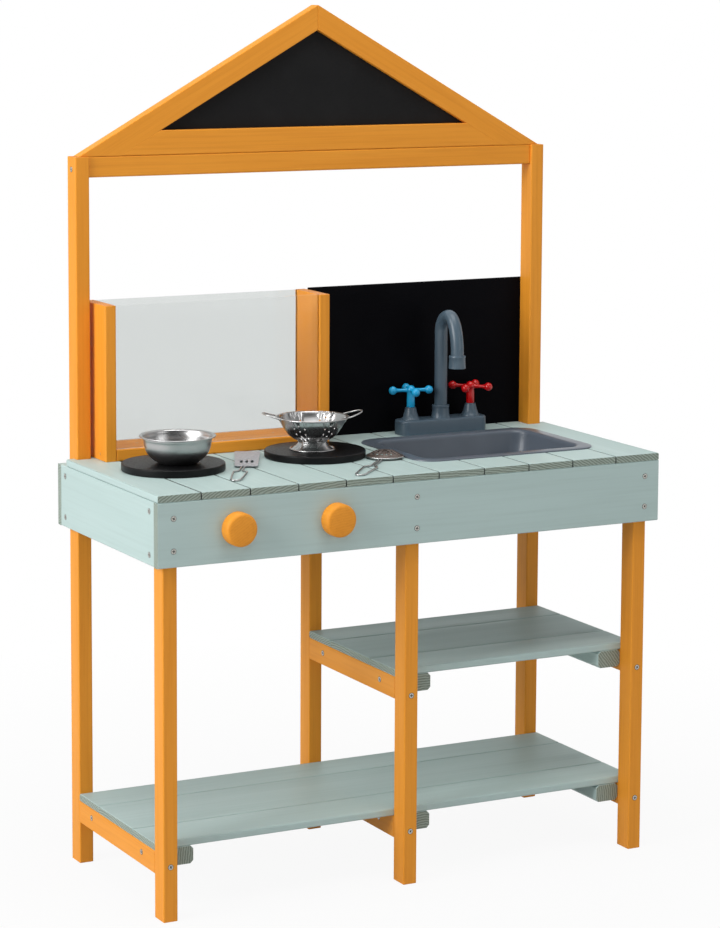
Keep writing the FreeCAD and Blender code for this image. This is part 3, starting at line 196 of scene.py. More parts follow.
class Nodes:
    """The node tree of a new material or world, with short ways to fill it."""

    def __init__(self, name, world=False):
        self.holder = (bpy.data.worlds if world else bpy.data.materials).new(name)
        self.holder.use_nodes = True
        self.tree = self.holder.node_tree
        self.surface = self.tree.nodes["Background" if world else "Principled BSDF"]
        self.end = self.tree.nodes["World Output" if world else "Material Output"].inputs["Surface"]

    def put(self, socket, setting):
        """Link an output to an input, or set the input to a value."""
        if isinstance(setting, bpy.types.NodeSocket):
            self.tree.links.new(setting, socket)
        else:
            socket.default_value = setting

    def add(self, kind, **settings):
        """Add a node with its properties and inputs, named with _ for a space."""
        node = self.tree.nodes.new("ShaderNode" + kind)
        for key, setting in settings.items():
            if hasattr(node, key):
                setattr(node, key, setting)
            else:
                self.put(node.inputs[key.replace("_", " ")], setting)
        return node

    def settle(self, **settings):
        """Fill the surface's inputs, named with _ for a space, and return the material or world."""
        for key, setting in settings.items():
            self.put(self.surface.inputs[key.replace("_", " ")], setting)
        return self.holder

    def noise(self, scale, detail=3.0, rough=0.55, source=None, stretch=(1, 1, 1), offset=(0, 0, 0)):
        """A noise pattern over the object's own coordinates, stretched along its axes."""
        source = source or self.add("TexCoord").outputs["Object"]
        spread = self.add("Mapping", Scale=stretch, Location=offset, Vector=source).outputs["Vector"]
        pattern = self.add("TexNoise", Scale=scale, Detail=detail, Roughness=rough, Vector=spread)
        return pattern.outputs["Fac"]

    def ramp(self, source, low, high, start, end):
        """Map a value from low..high onto start..end."""
        node = self.add("MapRange", Value=source, From_Min=low, From_Max=high, To_Min=start, To_Max=end)
        return node.outputs["Result"]

    def blend(self, share, low, high):
        """Mix two colours, each a tuple or an output."""
        mix = self.add("Mix", data_type="RGBA")
        for number, part in ((0, share), (6, low), (7, high)):
            self.put(mix.inputs[number], (*part, 1.0) if isinstance(part, tuple) else part)
        return mix.outputs[2]

    def row(self, kind, *parts, **settings):
        """Add a node whose inputs are filled in order, and return its first output."""
        node = self.add(kind, **settings)
        for socket, part in zip(node.inputs, parts):
            self.put(socket, part)
        return node.outputs[0]

    def math(self, operation, *parts):
        """One arithmetic step on outputs or numbers."""
        return self.row("Math", *parts, operation=operation)

    def length(self, vector):
        """A vector's length."""
        node = self.add("VectorMath", operation="LENGTH")
        self.put(node.inputs[0], vector)
        return node.outputs["Value"]

    def bump(self, height, strength, distance, below=None):
        """Raise the surface by a pattern, over another bump if one is given."""
        node = self.add("Bump", Strength=strength, Distance=distance, Height=height)
        if below is not None:
            self.put(node.inputs["Normal"], below)
        return node.outputs["Normal"]


def shaded(colour, share):
    """A colour darkened to a share of itself."""
    return tuple(share * part for part in colour)


def painted_wood(name, paint, grain_paint, end_light, end_dark, grain, seed,
                 turn=0.0, end_share=1.0, joints=None):
    """Thin satin paint over timber: faint raised grain along it and growth rings on its ends.

    joints names the X sides that lie against a neighbour, 0 both, 1 the right and -1 the left. Their side
    faces get painted shade, dark as the shadow in the narrow gap between boards.
    """
    nodes = Nodes(name)
    axis = "XYZ".index(grain)
    along = tuple(GRAIN_ALONG if number == axis else GRAIN_ACROSS for number in range(3))
    broad = tuple(CLOUD_ALONG if number == axis else CLOUD_ACROSS for number in range(3))
    shift = (seed * 1.37, seed * 2.11, seed * 0.73)
    coordinates = nodes.add("TexCoord")
    source = coordinates.outputs["Object"]
    if turn:
        rolled = nodes.add("VectorRotate", rotation_type="Y_AXIS", Angle=turn, Vector=source)
        source = rolled.outputs["Vector"]
    streaks = nodes.noise(1.0, 4.0, 0.6, source, along, shift)
    tone = nodes.noise(1.0, 2.0, 0.5, source, broad, shift)
    grit = nodes.noise(900.0, 2.0, 0.6, source)
    painted = nodes.blend(nodes.ramp(streaks, 0.46, 0.78, 0.0, 0.55), paint, grain_paint)
    painted = nodes.blend(nodes.ramp(tone, 0.3, 0.7, 0.0, 0.30), painted, grain_paint)
    # Growth rings, on faces that cut across the grain.
    facing = nodes.add("SeparateXYZ", Vector=coordinates.outputs["Normal"]).outputs
    on_end = nodes.ramp(nodes.math("ABSOLUTE", facing[axis]), 0.80, 0.97, 0.0, end_share)
    heart = [0.060 * math.sin(seed * (3.1 + number)) + 0.015 for number in range(3)]
    heart[axis] = 0.0
    cross = [0.0 if number == axis else 1.0 for number in range(3)]
    place = nodes.add("Mapping", Location=heart, Scale=cross, Vector=source)
    rings = nodes.add("TexWave", wave_type="RINGS", rings_direction="SPHERICAL", Scale=RING_SCALE,
                      Distortion=3.2, Detail=3.0, Detail_Scale=1.4, Vector=place.outputs["Vector"])
    fibres = nodes.ramp(nodes.noise(1500.0, 2.0, 0.7, source), 0.3, 0.7, 0.70, 1.0)
    ring_share = nodes.math("MULTIPLY", rings.outputs["Fac"], fibres)
    painted = nodes.blend(on_end, painted, nodes.blend(ring_share, end_light, end_dark))
    # Painted shade: side faces that lie against a neighbour are darkened toward JOINT_SHADOW, as the gap
    # between boards lies in shadow.
    if joints is not None:
        side = nodes.math("ABSOLUTE", facing[0]) if joints == 0 else facing[0]
        way = -1 if joints < 0 else 1
        upright = nodes.ramp(facing[2], 0.15, 0.50, 1.0, 0.0)
        leaning = nodes.ramp(side, 0.30 * way, 0.65 * way, 0.0, 0.9)
        steep = nodes.ramp(side, 0.50 * way, 0.90 * way, 0.0, 0.9)
        painted_shade = nodes.math("MAXIMUM", nodes.math("MULTIPLY", leaning, upright), steep)
        painted = nodes.blend(painted_shade, painted, JOINT_SHADOW)
    raised = nodes.bump(grit, 0.10, 0.0002, nodes.bump(streaks, 0.22, 0.0004))
    raised = nodes.bump(nodes.math("MULTIPLY", ring_share, on_end), 0.5, 0.0004, raised)
    return nodes.settle(Base_Color=painted, Roughness=nodes.ramp(tone, 0.3, 0.7, 0.44, 0.58), Normal=raised,
                        Specular_IOR_Level=0.25)


def orange_wood(name, grain, seed, turn=0.0):
    """The frame's orange paint."""
    return painted_wood(name, ORANGE, ORANGE_GRAIN, ORANGE_END_LIGHT, ORANGE_END_DARK, grain, seed, turn, 0.6)


def mint_wood(name, grain, seed, joints=None):
    """The boards' thin mint paint, which lets the end grain show."""
    return painted_wood(name, MINT, MINT_GRAIN, MINT_END_LIGHT, MINT_END_DARK, grain, seed, joints=joints)


def satin_black(name, colour, rough, gloss):
    """Black board paint with a fine roller texture and faint dust."""
    nodes = Nodes(name)
    roller = nodes.noise(420.0, 3.0, 0.6)
    cloud = nodes.ramp(nodes.noise(7.0, 3.0, 0.6), 0.45, 0.8, 0.0, 0.8)
    dusty = tuple(1.7 * part + 0.0008 for part in colour)
    return nodes.settle(Base_Color=nodes.blend(cloud, colour, dusty),
                        Roughness=nodes.ramp(roller, 0.3, 0.7, rough - 0.06, rough + 0.08),
                        Normal=nodes.bump(roller, 0.25, 0.0003), Specular_IOR_Level=gloss)


def moulded_plastic(name, colour, rough, coat=0.0):
    """Moulded plastic with a fine even skin and slight flow marks."""
    nodes = Nodes(name)
    skin_pattern = nodes.noise(1400.0, 2.0, 0.5)
    flow = nodes.noise(18.0, 2.0, 0.5)
    marks = nodes.ramp(flow, 0.35, 0.7, 0.0, 0.8)
    return nodes.settle(Base_Color=nodes.blend(marks, colour, shaded(colour, 0.86)),
                        Roughness=nodes.ramp(flow, 0.3, 0.7, rough - 0.03, rough + 0.05),
                        Normal=nodes.bump(skin_pattern, 0.08, 0.0002), Coat_Weight=coat, Coat_Roughness=0.12)


def spun_steel(name, centre, rough=0.27):
    """Stainless sheet with the fine rings that spinning and brushing leave."""
    nodes = Nodes(name)
    place = nodes.add("Mapping", Location=[-part for part in centre], Scale=(1.0, 1.0, 0.7),
                      Vector=nodes.add("TexCoord").outputs["Object"])
    reach = nodes.add("CombineXYZ", X=nodes.length(place.outputs["Vector"])).outputs["Vector"]
    rings = nodes.add("TexNoise", Scale=2600.0, Detail=2.0, Vector=reach).outputs["Fac"]
    smudge = nodes.noise(14.0, 2.0, 0.5)
    brushed = nodes.ramp(rings, 0.35, 0.65, 0.0, 0.5)
    return nodes.settle(Metallic=1.0, Base_Color=nodes.blend(brushed, STEEL, shaded(STEEL, 0.82)),
                        Roughness=nodes.ramp(smudge, 0.3, 0.7, rough - 0.05, rough + 0.10),
                        Normal=nodes.bump(rings, 0.03, 0.0001))


def plain_steel(name, colour, rough):
    """Drawn wire or plated hardware with light handling marks."""
    nodes = Nodes(name)
    marks = nodes.noise(300.0, 3.0, 0.6)
    handled = nodes.ramp(marks, 0.4, 0.7, 0.0, 0.6)
    return nodes.settle(Metallic=1.0, Base_Color=nodes.blend(handled, colour, shaded(colour, 0.7)),
                        Roughness=nodes.ramp(marks, 0.3, 0.7, rough - 0.06, rough + 0.10),
                        Normal=nodes.bump(marks, 0.08, 0.0001))


def clear_acrylic(name, tint):
    """Clear sheet, a little hazy, with faint upright wipe marks."""
    nodes = Nodes(name)
    wipes = nodes.noise(1.0, 3.0, 0.6, None, (60.0, 9.0, 5.0))
    return nodes.settle(Base_Color=(*tint, 1.0), Transmission_Weight=1.0, IOR=PANE_INDEX,
                        Roughness=nodes.ramp(wipes, 0.45, 0.75, 0.02, 0.16))


# Mesh helpers

def piece(name, mesh, body, slot, material, *replaced):
    """Add a finished mesh as a smooth piece that rides on a body and stands for CAD nodes."""
    shown = bpy.data.objects.new(name, mesh)
    bpy.context.scene.collection.objects.link(shown)
    mesh.materials.append(material)
    mesh.shade_smooth()
    mesh.set_sharp_from_angle(angle=math.radians(38))
    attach(shown, body)
    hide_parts(*replaced)


def to_mesh(name, work):
    """Turn a bmesh into a mesh with outward normals."""
    bmesh.ops.recalc_face_normals(work, faces=work.faces)
    mesh = bpy.data.meshes.new(name)
    work.to_mesh(mesh)
    work.free()
    return mesh


def arc(across, up, radius, start, end, steps=8):
    """Points of an arc in a profile, by its centre, radius and angles in degrees."""
    turns = [math.radians(start + (end - start) * step / steps) for step in range(steps + 1)]
    return [(across + radius * math.cos(turn), up + radius * math.sin(turn)) for turn in turns]


def around(count):
    """Equal steps of angle, once round."""
    return [2 * math.pi * step / count for step in range(count)]


def circle(matrix, radius, height, count=SEGMENTS):
    """Points of a level circle about the matrix's Z axis."""
    return [matrix @ Vector((radius * math.cos(a), radius * math.sin(a), height)) for a in around(count)]


def turn_profile(work, points, segments, matrix):
    """Turn a profile of (radius, height) points about the matrix's Z axis into the bmesh."""
    rings = []
    for radius, height in points:
        places = circle(matrix, radius, height, segments if radius > 1e-7 else 1)
        rings.append([work.verts.new(place) for place in places])
    for low, high in zip(rings, rings[1:]):
        for step in range(segments):
            after = (step + 1) % segments
            corners = [low[step % len(low)], low[after % len(low)]]
            corners += [high[after % len(high)], high[step % len(high)]]
            unique = list(dict.fromkeys(corners))
            if len(unique) > 2:
                work.faces.new(unique)
    return rings


def catmull(points, steps=6):
    """A smooth line through profile points."""
    line = []
    padded = [points[0]] + list(points) + [points[-1]]
    for before, start, end, after in zip(padded, padded[1:], padded[2:], padded[3:]):
        for step in range(steps):
            t = step / steps
            line.append(tuple(0.5 * ((2 * b) + (c - a) * t + (2 * a - 5 * b + 4 * c - d) * t * t
                                     + (3 * b - a - 3 * c + d) * t ** 3)
                              for a, b, c, d in zip(before, start, end, after)))
    return line + [tuple(points[-1])]


def offset_line(points, distance):
    """The same line moved sideways by a distance, to the left of its direction."""
    moved = []
    for number, (across, up) in enumerate(points):
        ahead = points[min(number + 1, len(points) - 1)]
        behind = points[max(number - 1, 0)]
        way = Vector((ahead[0] - behind[0], ahead[1] - behind[1])).normalized()
        moved.append((max(across - way.y * distance, 0.0), up + way.x * distance))
    return moved


def tube(work, points, radius, sides=16, closed=False):
    """Sweep a round wire along 3-D points into the bmesh, with capped ends unless closed."""
    count = len(points)
    rings = []
    side = None
    for number, point in enumerate(points):
        ahead = points[(number + 1) % count] if closed or number < count - 1 else point
        behind = points[number - 1] if closed or number else point
        way = (ahead - behind).normalized()
        if side is None:
            side = way.orthogonal().normalized()
        side = (side - way * side.dot(way)).normalized()
        up = way.cross(side)
        wheel = [math.cos(a) * side + math.sin(a) * up for a in around(sides)]
        rings.append([work.verts.new(point + radius * spoke) for spoke in wheel])
    pairs = list(zip(rings, rings[1:])) + ([(rings[-1], rings[0])] if closed else [])
    for low, high in pairs:
        for step in range(sides):
            after = (step + 1) % sides
            work.faces.new((low[step], low[after], high[after], high[step]))
    if not closed:
        work.faces.new(rings[0][::-1])
        work.faces.new(rings[-1])


def smooth_path(corners, radius, steps=6):
    """Points along straight runs whose corners are rounded by an arc-like curve."""
    path = [corners[0]]
    for before, corner, after in zip(corners, corners[1:], corners[2:]):
        back = before - corner
        ahead = after - corner
        reach = min(radius, back.length * CORNER_SHARE, ahead.length * CORNER_SHARE)
        start = corner + back.normalized() * reach
        end = corner + ahead.normalized() * reach
        for step in range(steps + 1):
            t = step / steps
            path.append((1 - t) ** 2 * start + 2 * t * (1 - t) * corner + t * t * end)
    return path + [corners[-1]]


def middle_of(node):
    """A node's box: middle, lowest corner and highest corner."""
    low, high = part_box(node)
    return (low + high) / 2, low, high


# Timbers

def dress(node, material, softness=0.0):
    """Give a CAD node its material and round its edges a little, as sanding and paint do."""
    shown = NODES[node]
    shown.data.materials.clear()
    shown.data.materials.append(material)
    if not softness:
        return
    weld = shown.modifiers.new("weld", "WELD")
    weld.merge_threshold = 1e-6
    bevel = shown.modifiers.new("soften", "BEVEL")
    bevel.width = softness * MM
    bevel.segments = 3
    bevel.limit_method = "ANGLE"
    bevel.angle_limit = math.radians(20)


def dress_timbers():
    """Paint every timber, each with its own grain."""
    upright = ["front_left_leg", "front_middle_leg", "front_right_leg", "back_middle_leg", "back_left_post",
               "back_right_post", "splash_left_upright", "splash_right_upright"]
    across = ["roof_crossbeam", "roof_bottom_rail", "splash_bottom_board"]
    deep = ["lower_left_rail", "lower_middle_rail", "lower_right_rail", "upper_middle_rail",
            "upper_right_rail"]
    groups = ((upright, "Z", 0, EDGE_SOFTNESS), (across, "X", 10, SEAM_SOFTNESS),
              (deep, "Y", 20, EDGE_SOFTNESS))
    for names, grain, first_seed, softness in groups:
        for seed, node in enumerate(names, first_seed):
            dress(node, orange_wood("orange_" + node, grain, seed), softness)
    low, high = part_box("left_rafter")
    slope = math.atan2(high.z - low.z, high.x - low.x)
    for seed, (node, turn) in enumerate((("left_rafter", slope), ("right_rafter", -slope)), 30):
        dress(node, orange_wood("orange_" + node, "X", seed, turn), SEAM_SOFTNESS)
    for number in range(1, 12):
        node = "worktop_plank_%02d" % number
        joints = 1 if number == 1 else -1 if number == 11 else 0
        dress(node, mint_wood("mint_" + node, "Y", number * 1.7, joints), PLANK_SOFTNESS)
    shelves = [node for node in NODES if "_shelf_" in node]
    for seed, node in enumerate(sorted(shelves), 40):
        dress(node, mint_wood("mint_" + node, "X", seed), SEAM_SOFTNESS)
    # The front apron stays sharp.
    others = (("front_apron", "X", 0.0), ("back_apron", "X", EDGE_SOFTNESS),
              ("left_apron", "Y", EDGE_SOFTNESS), ("right_apron", "Y", EDGE_SOFTNESS),
              ("support_battens", "Y", EDGE_SOFTNESS))
    for seed, (node, grain, softness) in enumerate(others, 50):
        dress(node, mint_wood("mint_" + node, grain, seed), softness)


def dress_boards():
    """Give the chalkboards their black coat and the panes their clear sheet."""
    # One black paint in two copies: painted light on the roof board, painted shade on the rear board.
    coats = {"roof_chalkboard": satin_black("roof_chalkboard_paint", ROOF_BLACK_PAINTED_LIT, 0.60, 0.14),
             "rear_chalkboard": satin_black("rear_chalkboard_paint", REAR_BLACK_PAINTED_SHADE, 0.62, 0.04),
             "splash_front_pane": clear_acrylic("front_acrylic_sheet", FRONT_PANE),
             "splash_rear_pane": clear_acrylic("rear_acrylic_sheet", REAR_PANE)}
    for node, material in coats.items():
        dress(node, material, SHEET_SOFTNESS)


# Hob and knobs

def hob_discs():
    """Turn the black hob discs with rounded edges."""
    paint = satin_black("hob_black_paint", BLACK_PAINT, 0.38, 0.18)
    for node in ("left_hob_disc", "right_hob_disc"):
        middle, low, high = middle_of(node)
        soft = DISC_ROUND * MM
        reach = (high.x - low.x) / 2 - soft
        height = high.z - low.z
        profile = [(0.0, 0.0)] + arc(reach, soft, soft, -90, 0) + arc(reach, height - soft, soft, 0, 90)
        profile.append((0.0, height))
        work = bmesh.new()
        turn_profile(work, profile, DISC_SEGMENTS, Matrix.Translation((middle.x, middle.y, low.z)))
        piece(node + "_turned", to_mesh(node, work), "table", "black_paint", paint, node)


def knobs():
    """Turn the two knobs with a soft front edge and a slightly crowned face."""
    for seed, side in enumerate(("left", "right"), 60):
        node = side + "_knob"
        middle, low, high = middle_of(node)
        radius = (high.x - low.x) / 2
        depth = high.y - low.y
        soft = KNOB_ROUND * MM
        profile = [(0.0, 0.0), (radius - 0.001, 0.0), (radius, 0.001)]
        profile += arc(radius - soft, depth - soft - 0.0004, soft, 0, 84, 10)
        profile += [(radius * 0.5, depth - 0.00015), (0.0, depth)]
        work = bmesh.new()
        stand = Matrix.Translation((middle.x, high.y, middle.z)) @ Matrix.Rotation(math.radians(90), 4, "X")
        turn_profile(work, profile, SEGMENTS, stand)
        paint = painted_wood("orange_" + node, ORANGE, ORANGE_GRAIN, ORANGE, ORANGE_GRAIN, "Y", seed,
                             end_share=0.25)
        piece(node + "_turned", to_mesh(node, work), node, "orange_paint", paint, node)


# Bowl and colander

def rim_line(radius, height):
    """Points of an out-turned rim that ends in a small roll, from the wall to its edge."""
    roll = RIM_ROLL * MM
    steps = ((3.2, 2.8), (2.9, 1.4), (2.2, 0.85), (0.8, 0.70))
    return [(radius - inward * roll, height - down * roll) for inward, down in steps]


def bowl():
    """Spin the bowl with its round belly and rolled rim."""
    middle, low, high = middle_of("bowl")
    radius = (high.x - low.x) / 2
    height = high.z - low.z
    sheet = METAL_SHEET * MM
    belly = [(0.0, 0.0), (0.012, 0.0), (0.022, 0.0), (0.0275, 0.0016), (0.0345, 0.0065), (0.0405, 0.0135),
             (0.0438, 0.0215), (0.0451, 0.0295)]
    line = catmull(belly + rim_line(radius, height))
    inside = offset_line(line, sheet)
    inside[0] = (0.0, sheet)
    stand = Matrix.Translation((middle.x, middle.y, low.z))
    work = bmesh.new()
    turn_profile(work, line + inside[::-1], SEGMENTS, stand)
    wire = RIM_WIRE * MM
    tube(work, circle(stand, radius - wire, height - wire), wire, 12, True)
    steel = spun_steel("bowl_spun_steel", (middle.x, middle.y, low.z + SPIN_CENTRE * MM))
    piece("bowl_spun", to_mesh("bowl", work), "bowl", "kitchen_steel", steel, "bowl")


def line_lengths(line):
    """How far along a line each of its points lies."""
    lengths = [0.0]
    for start, end in zip(line, line[1:]):
        lengths.append(lengths[-1] + math.dist(start, end))
    return lengths


def punched_sheet(work, line, holes, thickness, matrix, segments=SEGMENTS):
    """A turned sheet with round holes: holes are (angle, distance along the line, radius)."""
    lengths = line_lengths(line)
    total = lengths[-1]

    def locate(distance, depth=0.0):
        """The sheet's radius and height at a distance along its line and a depth inside it."""
        distance = min(max(distance, 0.0), total)
        number = max(n for n in range(len(line) - 1) if lengths[n] <= distance + 1e-12)
        share = (distance - lengths[number]) / (lengths[number + 1] - lengths[number])
        low, high = line[number], line[number + 1]
        way = Vector((high[0] - low[0], high[1] - low[1])).normalized()
        return (low[0] + (high[0] - low[0]) * share - way.y * depth,
                low[1] + (high[1] - low[1]) * share + way.x * depth)

    def spot(angle, distance, depth):
        """The sheet's point at an angle, a distance and a depth."""
        across, up = locate(distance, depth)
        return matrix @ Vector((across * math.cos(angle), across * math.sin(angle), up))

    def clear(angle, distance, share):
        """Whether a place lies outside every hole, with the holes grown to a share of their size."""
        return all(math.hypot((angle - heading) * reach, distance - along) > size * share
                   for heading, along, size, reach in holes)

    holes = [(*hole, locate(hole[1])[0]) for hole in holes]
    points = []
    edges = []
    for heading, along, size, reach in holes:
        first = len(points)
        for side, turn in enumerate(around(HOLE_SIDES)):
            points.append(Vector((heading + size / reach * math.cos(turn), along + size * math.sin(turn))))
            edges.append((first + side, first + (side + 1) % HOLE_SIDES))
    rows = max(4, int(total / (SHEET_ROW * MM)))
    for row in range(rows + 1):
        distance = total * row / rows
        for step in range(segments + 1):
            angle = 2 * math.pi * step / segments
            if row in (0, rows) or clear(angle, distance, HOLE_GUARD):
                points.append(Vector((angle, distance)))
    flat, _, faces, _, _, _ = geometry.delaunay_2d_cdt(points, edges, [], 0, 1e-9)
    kept = []
    for face in faces:
        angle = sum(flat[number].x for number in face) / len(face)
        distance = sum(flat[number].y for number in face) / len(face)
        if clear(angle, distance, HOLE_INSIDE):
            kept.append(face)
    outer, inner = [[work.verts.new(spot(point.x, point.y, depth)) for point in flat]
                    for depth in (0.0, thickness)]
    used = {}
    for face in kept:
        work.faces.new([outer[number] for number in face])
        work.faces.new([inner[number] for number in reversed(face)])
        used.update(dict.fromkeys(zip(face, face[1:] + face[:1])))
    for start, end in used:
        if (end, start) not in used:
            work.faces.new((outer[start], inner[start], inner[end], outer[end]))
    bmesh.ops.remove_doubles(work, verts=work.verts, dist=1e-6)


def colander():
    """Spin the colander on its foot, with groups of seven holes and two wire loops."""
    middle, low = middle_of("colander")[:2]
    radius = COLANDER_RADIUS * MM
    height = COLANDER_HEIGHT * MM
    neck_radius = COLANDER_NECK * MM
    top = COLANDER_FOOT_HEIGHT * MM
    stand = Matrix.Translation((middle.x, middle.y, low.z)) @ Matrix.Rotation(COLANDER_TURN, 4, "Z")
    belly = [(neck_radius, top + 0.0008), (0.0235, top + 0.0022), (0.0320, top + 0.0080),
             (0.0385, top + 0.0165), (0.0435, top + 0.0250)]
    line = catmull(belly + rim_line(radius, height), 4)
    centre_at = line_lengths(line)[-1] * COLANDER_FLOWER_SHARE
    pitch = COLANDER_PITCH * MM
    size = COLANDER_HOLE * MM / 2
    holes = []
    for group in range(COLANDER_GROUPS):
        heading = 2 * math.pi * (group + 0.5) / COLANDER_GROUPS + COLANDER_FLOWER_TURN
        holes.append((heading, centre_at, size))
        for petal in range(6):
            turn = math.radians(90 + 60 * petal)
            sideways = pitch * math.cos(turn) / (COLANDER_FLOWER_RADIUS * MM)
            holes.append((heading + sideways, centre_at + pitch * math.sin(turn), size))
    work = bmesh.new()
    punched_sheet(work, line, holes, METAL_SHEET * MM, stand)
    base = [(0.0, top), (neck_radius, top + 0.0008), (neck_radius, top + 0.0017), (0.0, top + 0.0009)]
    turn_profile(work, base, SEGMENTS, stand)
    neck = catmull([(neck_radius, top + 0.0006), (0.0192, top - 0.002), (0.0225, top - 0.0065),
                    (0.0275, 0.0016), (0.0305, 0.0010)], 5)
    turn_profile(work, neck + offset_line(neck, -METAL_SHEET * MM)[::-1] + neck[:1], SEGMENTS, stand)
    rims = ((radius - 0.0010, height - 0.0010, 0.0010), (0.0300, 0.0012, 0.0012),
            (0.0196, top - 0.0004, 0.0009))
    for rim_radius, rim_height, wire in rims:
        tube(work, circle(stand, rim_radius, rim_height), wire, 12, True)
    reach = COLANDER_LOOP_REACH * MM
    half_loop = [(0.0442, -0.0185), (0.052, -0.0180), (0.0640, -0.0120), (reach, -0.0040)]
    loop = half_loop + [(x, -y) for x, y in reversed(half_loop)]
    level = height - 0.0014
    root = 0.0465
    rise = math.tan(COLANDER_LOOP_TILT)
    for side in (-1, 1):
        corners = [stand @ Vector((side * x, y, level + max(x - root, 0.0) * rise)) for x, y in loop]
        tube(work, smooth_path(corners, COLANDER_LOOP_BEND * MM, 8), COLANDER_WIRE * MM / 2, 14)
    steel = spun_steel("colander_spun_steel", (middle.x, middle.y, low.z + SPIN_CENTRE * MM), 0.26)
    piece("colander_spun", to_mesh("colander", work), "colander", "kitchen_steel", steel, "colander")


# Spatula and skimmer

def lay(node, place, turn):
    """The place and heading of a utensil that lies on its node's low side."""
    place = Vector((place[0] * MM, place[1] * MM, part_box(node)[0].z))
    return Matrix.Translation(place) @ Matrix.Rotation(turn, 4, "Z")


def wire_handle(work, stand, stem_end):
    """Bend a utensil's wire: an open six-sided loop whose two ends run on as its stem."""
    reach = UTENSIL_WIRE / 2
    bends = [(stem_end, STEM_HALF_SPACING), (76.0, STEM_HALF_SPACING), (67.0, 9.3), (9.0, 6.5), (reach, 3.6)]
    bends += [(x, -y) for x, y in reversed(bends)]
    path = smooth_path([stand @ Vector((x * MM, y * MM, reach * MM)) for x, y in bends], STEM_BEND * MM, 5)
    tube(work, path, reach * MM, 14)


def flat_plate(work, loops, thickness, stand):
    """A flat plate lying on its low side: its outline is the first loop, its openings are the others."""
    for height in (0.0, thickness):
        edges = []
        for loop in loops:
            points = [work.verts.new(stand @ Vector((x, y, height))) for x, y in loop]
            edges += [work.edges.new((points[n - 1], points[n])) for n in range(len(points))]
        bmesh.ops.triangle_fill(work, use_beauty=True, edges=edges)
    for loop in loops:
        low = [work.verts.new(stand @ Vector((x, y, 0.0))) for x, y in loop]
        high = [work.verts.new(stand @ Vector((x, y, thickness))) for x, y in loop]
        for number in range(len(loop)):
            work.faces.new((low[number - 1], low[number], high[number], high[number - 1]))
    bmesh.ops.remove_doubles(work, verts=work.verts, dist=1e-6)


def rounded_outline(corners, radius, steps=6):
    """An outline of corner points, each corner rounded."""
    points = []
    for number, corner in enumerate(corners):
        before = Vector(corners[number - 1])
        after = Vector(corners[(number + 1) % len(corners)])
        corner = Vector(corner)
        start = corner + (before - corner).normalized() * radius
        end = corner + (after - corner).normalized() * radius
        for step in range(steps + 1):
            t = step / steps
            points.append(tuple((1 - t) ** 2 * start + 2 * t * (1 - t) * corner + t * t * end))
    return points


def spatula():
    """Stamp the spatula's slotted blade and fix it on its wire handle."""
    stand = lay("spatula", SPATULA_PLACE, SPATULA_TURN)
    work = bmesh.new()
    wire_handle(work, stand, SPATULA_STEM)
    piece("spatula_wire", to_mesh("spatula_wire", work), "spatula", "kitchen_steel",
          plain_steel("spatula_wire_steel", STEEL, 0.30), "spatula")
    end = BLADE_LENGTH * MM
    blade = [(0.0, -0.0155), (end, -0.0175), (end, 0.0175), (0.0, 0.0155)]
    loops = [rounded_outline(blade, BLADE_CORNER * MM)]
    half = SLOT_WIDTH * MM / 2
    for number in (-1, 0, 1):
        side = number * SLOT_PITCH * MM
        near, far = SLOT_START * MM, SLOT_END * MM
        slot = [(near, side - half), (far, side - half), (far, side + half), (near, side + half)]
        loops.append(rounded_outline(slot, SLOT_CORNER * MM, 4))
    work = bmesh.new()
    lean = Matrix.Rotation(BLADE_TURN, 4, "Z") @ Matrix.Rotation(BLADE_LEAN, 4, "Y")
    flat_plate(work, loops, BLADE_SHEET * MM, stand @ Matrix.Translation(Vector(BLADE_PLACE) * MM) @ lean)
    piece("spatula_blade", to_mesh("spatula_blade", work), "spatula", "kitchen_steel",
          plain_steel("spatula_blade_steel", BLADE_STEEL, 0.52), "spatula")


def skimmer():
    """Press the skimmer's low punched dome and fix it on its wire handle."""
    stand = lay("skimmer", SKIMMER_PLACE, SKIMMER_TURN)
    head = stand @ Matrix.Translation((SKIMMER_HEAD_AT * MM, 0, 0))
    work = bmesh.new()
    wire_handle(work, stand, SKIMMER_STEM)
    tube(work, circle(head, SKIMMER_RIM * MM, SKIMMER_RIM_HEIGHT * MM), 0.0010, 12, True)
    piece("skimmer_wire", to_mesh("skimmer_wire", work), "skimmer", "kitchen_steel",
          plain_steel("skimmer_wire_steel", STEEL, 0.30), "skimmer")
    dome = [(0.0014, 0.01095), (0.0060, 0.0107), (0.0105, 0.0098), (0.0150, 0.0083), (0.0190, 0.0062),
            (0.0220, 0.0041), (0.0236, 0.0031), (0.0252, 0.0029)]
    holes = []
    for count, distance in ((6, 0.0050), (11, 0.0108), (17, 0.0168)):
        for number in range(count):
            holes.append((2 * math.pi * (number + 0.5) / count, distance, SKIMMER_HOLE * MM / 2))
    work = bmesh.new()
    punched_sheet(work, catmull(dome, 3), holes, SKIMMER_SHEET * MM, head, 72)
    piece("skimmer_head", to_mesh("skimmer_head", work), "skimmer", "kitchen_steel",
          plain_steel("skimmer_head_steel", STRAINER_STEEL, 0.42), "skimmer")


# Sink and tap

def rounded_ring(half_across, half_deep, radius, height, steps=10):
    """Points of a rounded rectangle at a height."""
    points = []
    for number, (across, deep) in enumerate(((1, -1), (1, 1), (-1, 1), (-1, -1))):
        for step in range(steps + 1):
            turn = math.radians(90 * (number - 1) + 90 * step / steps)
            points.append(Vector((across * (half_across - radius) + radius * math.cos(turn),
                                  deep * (half_deep - radius) + radius * math.sin(turn), height)))
    return points


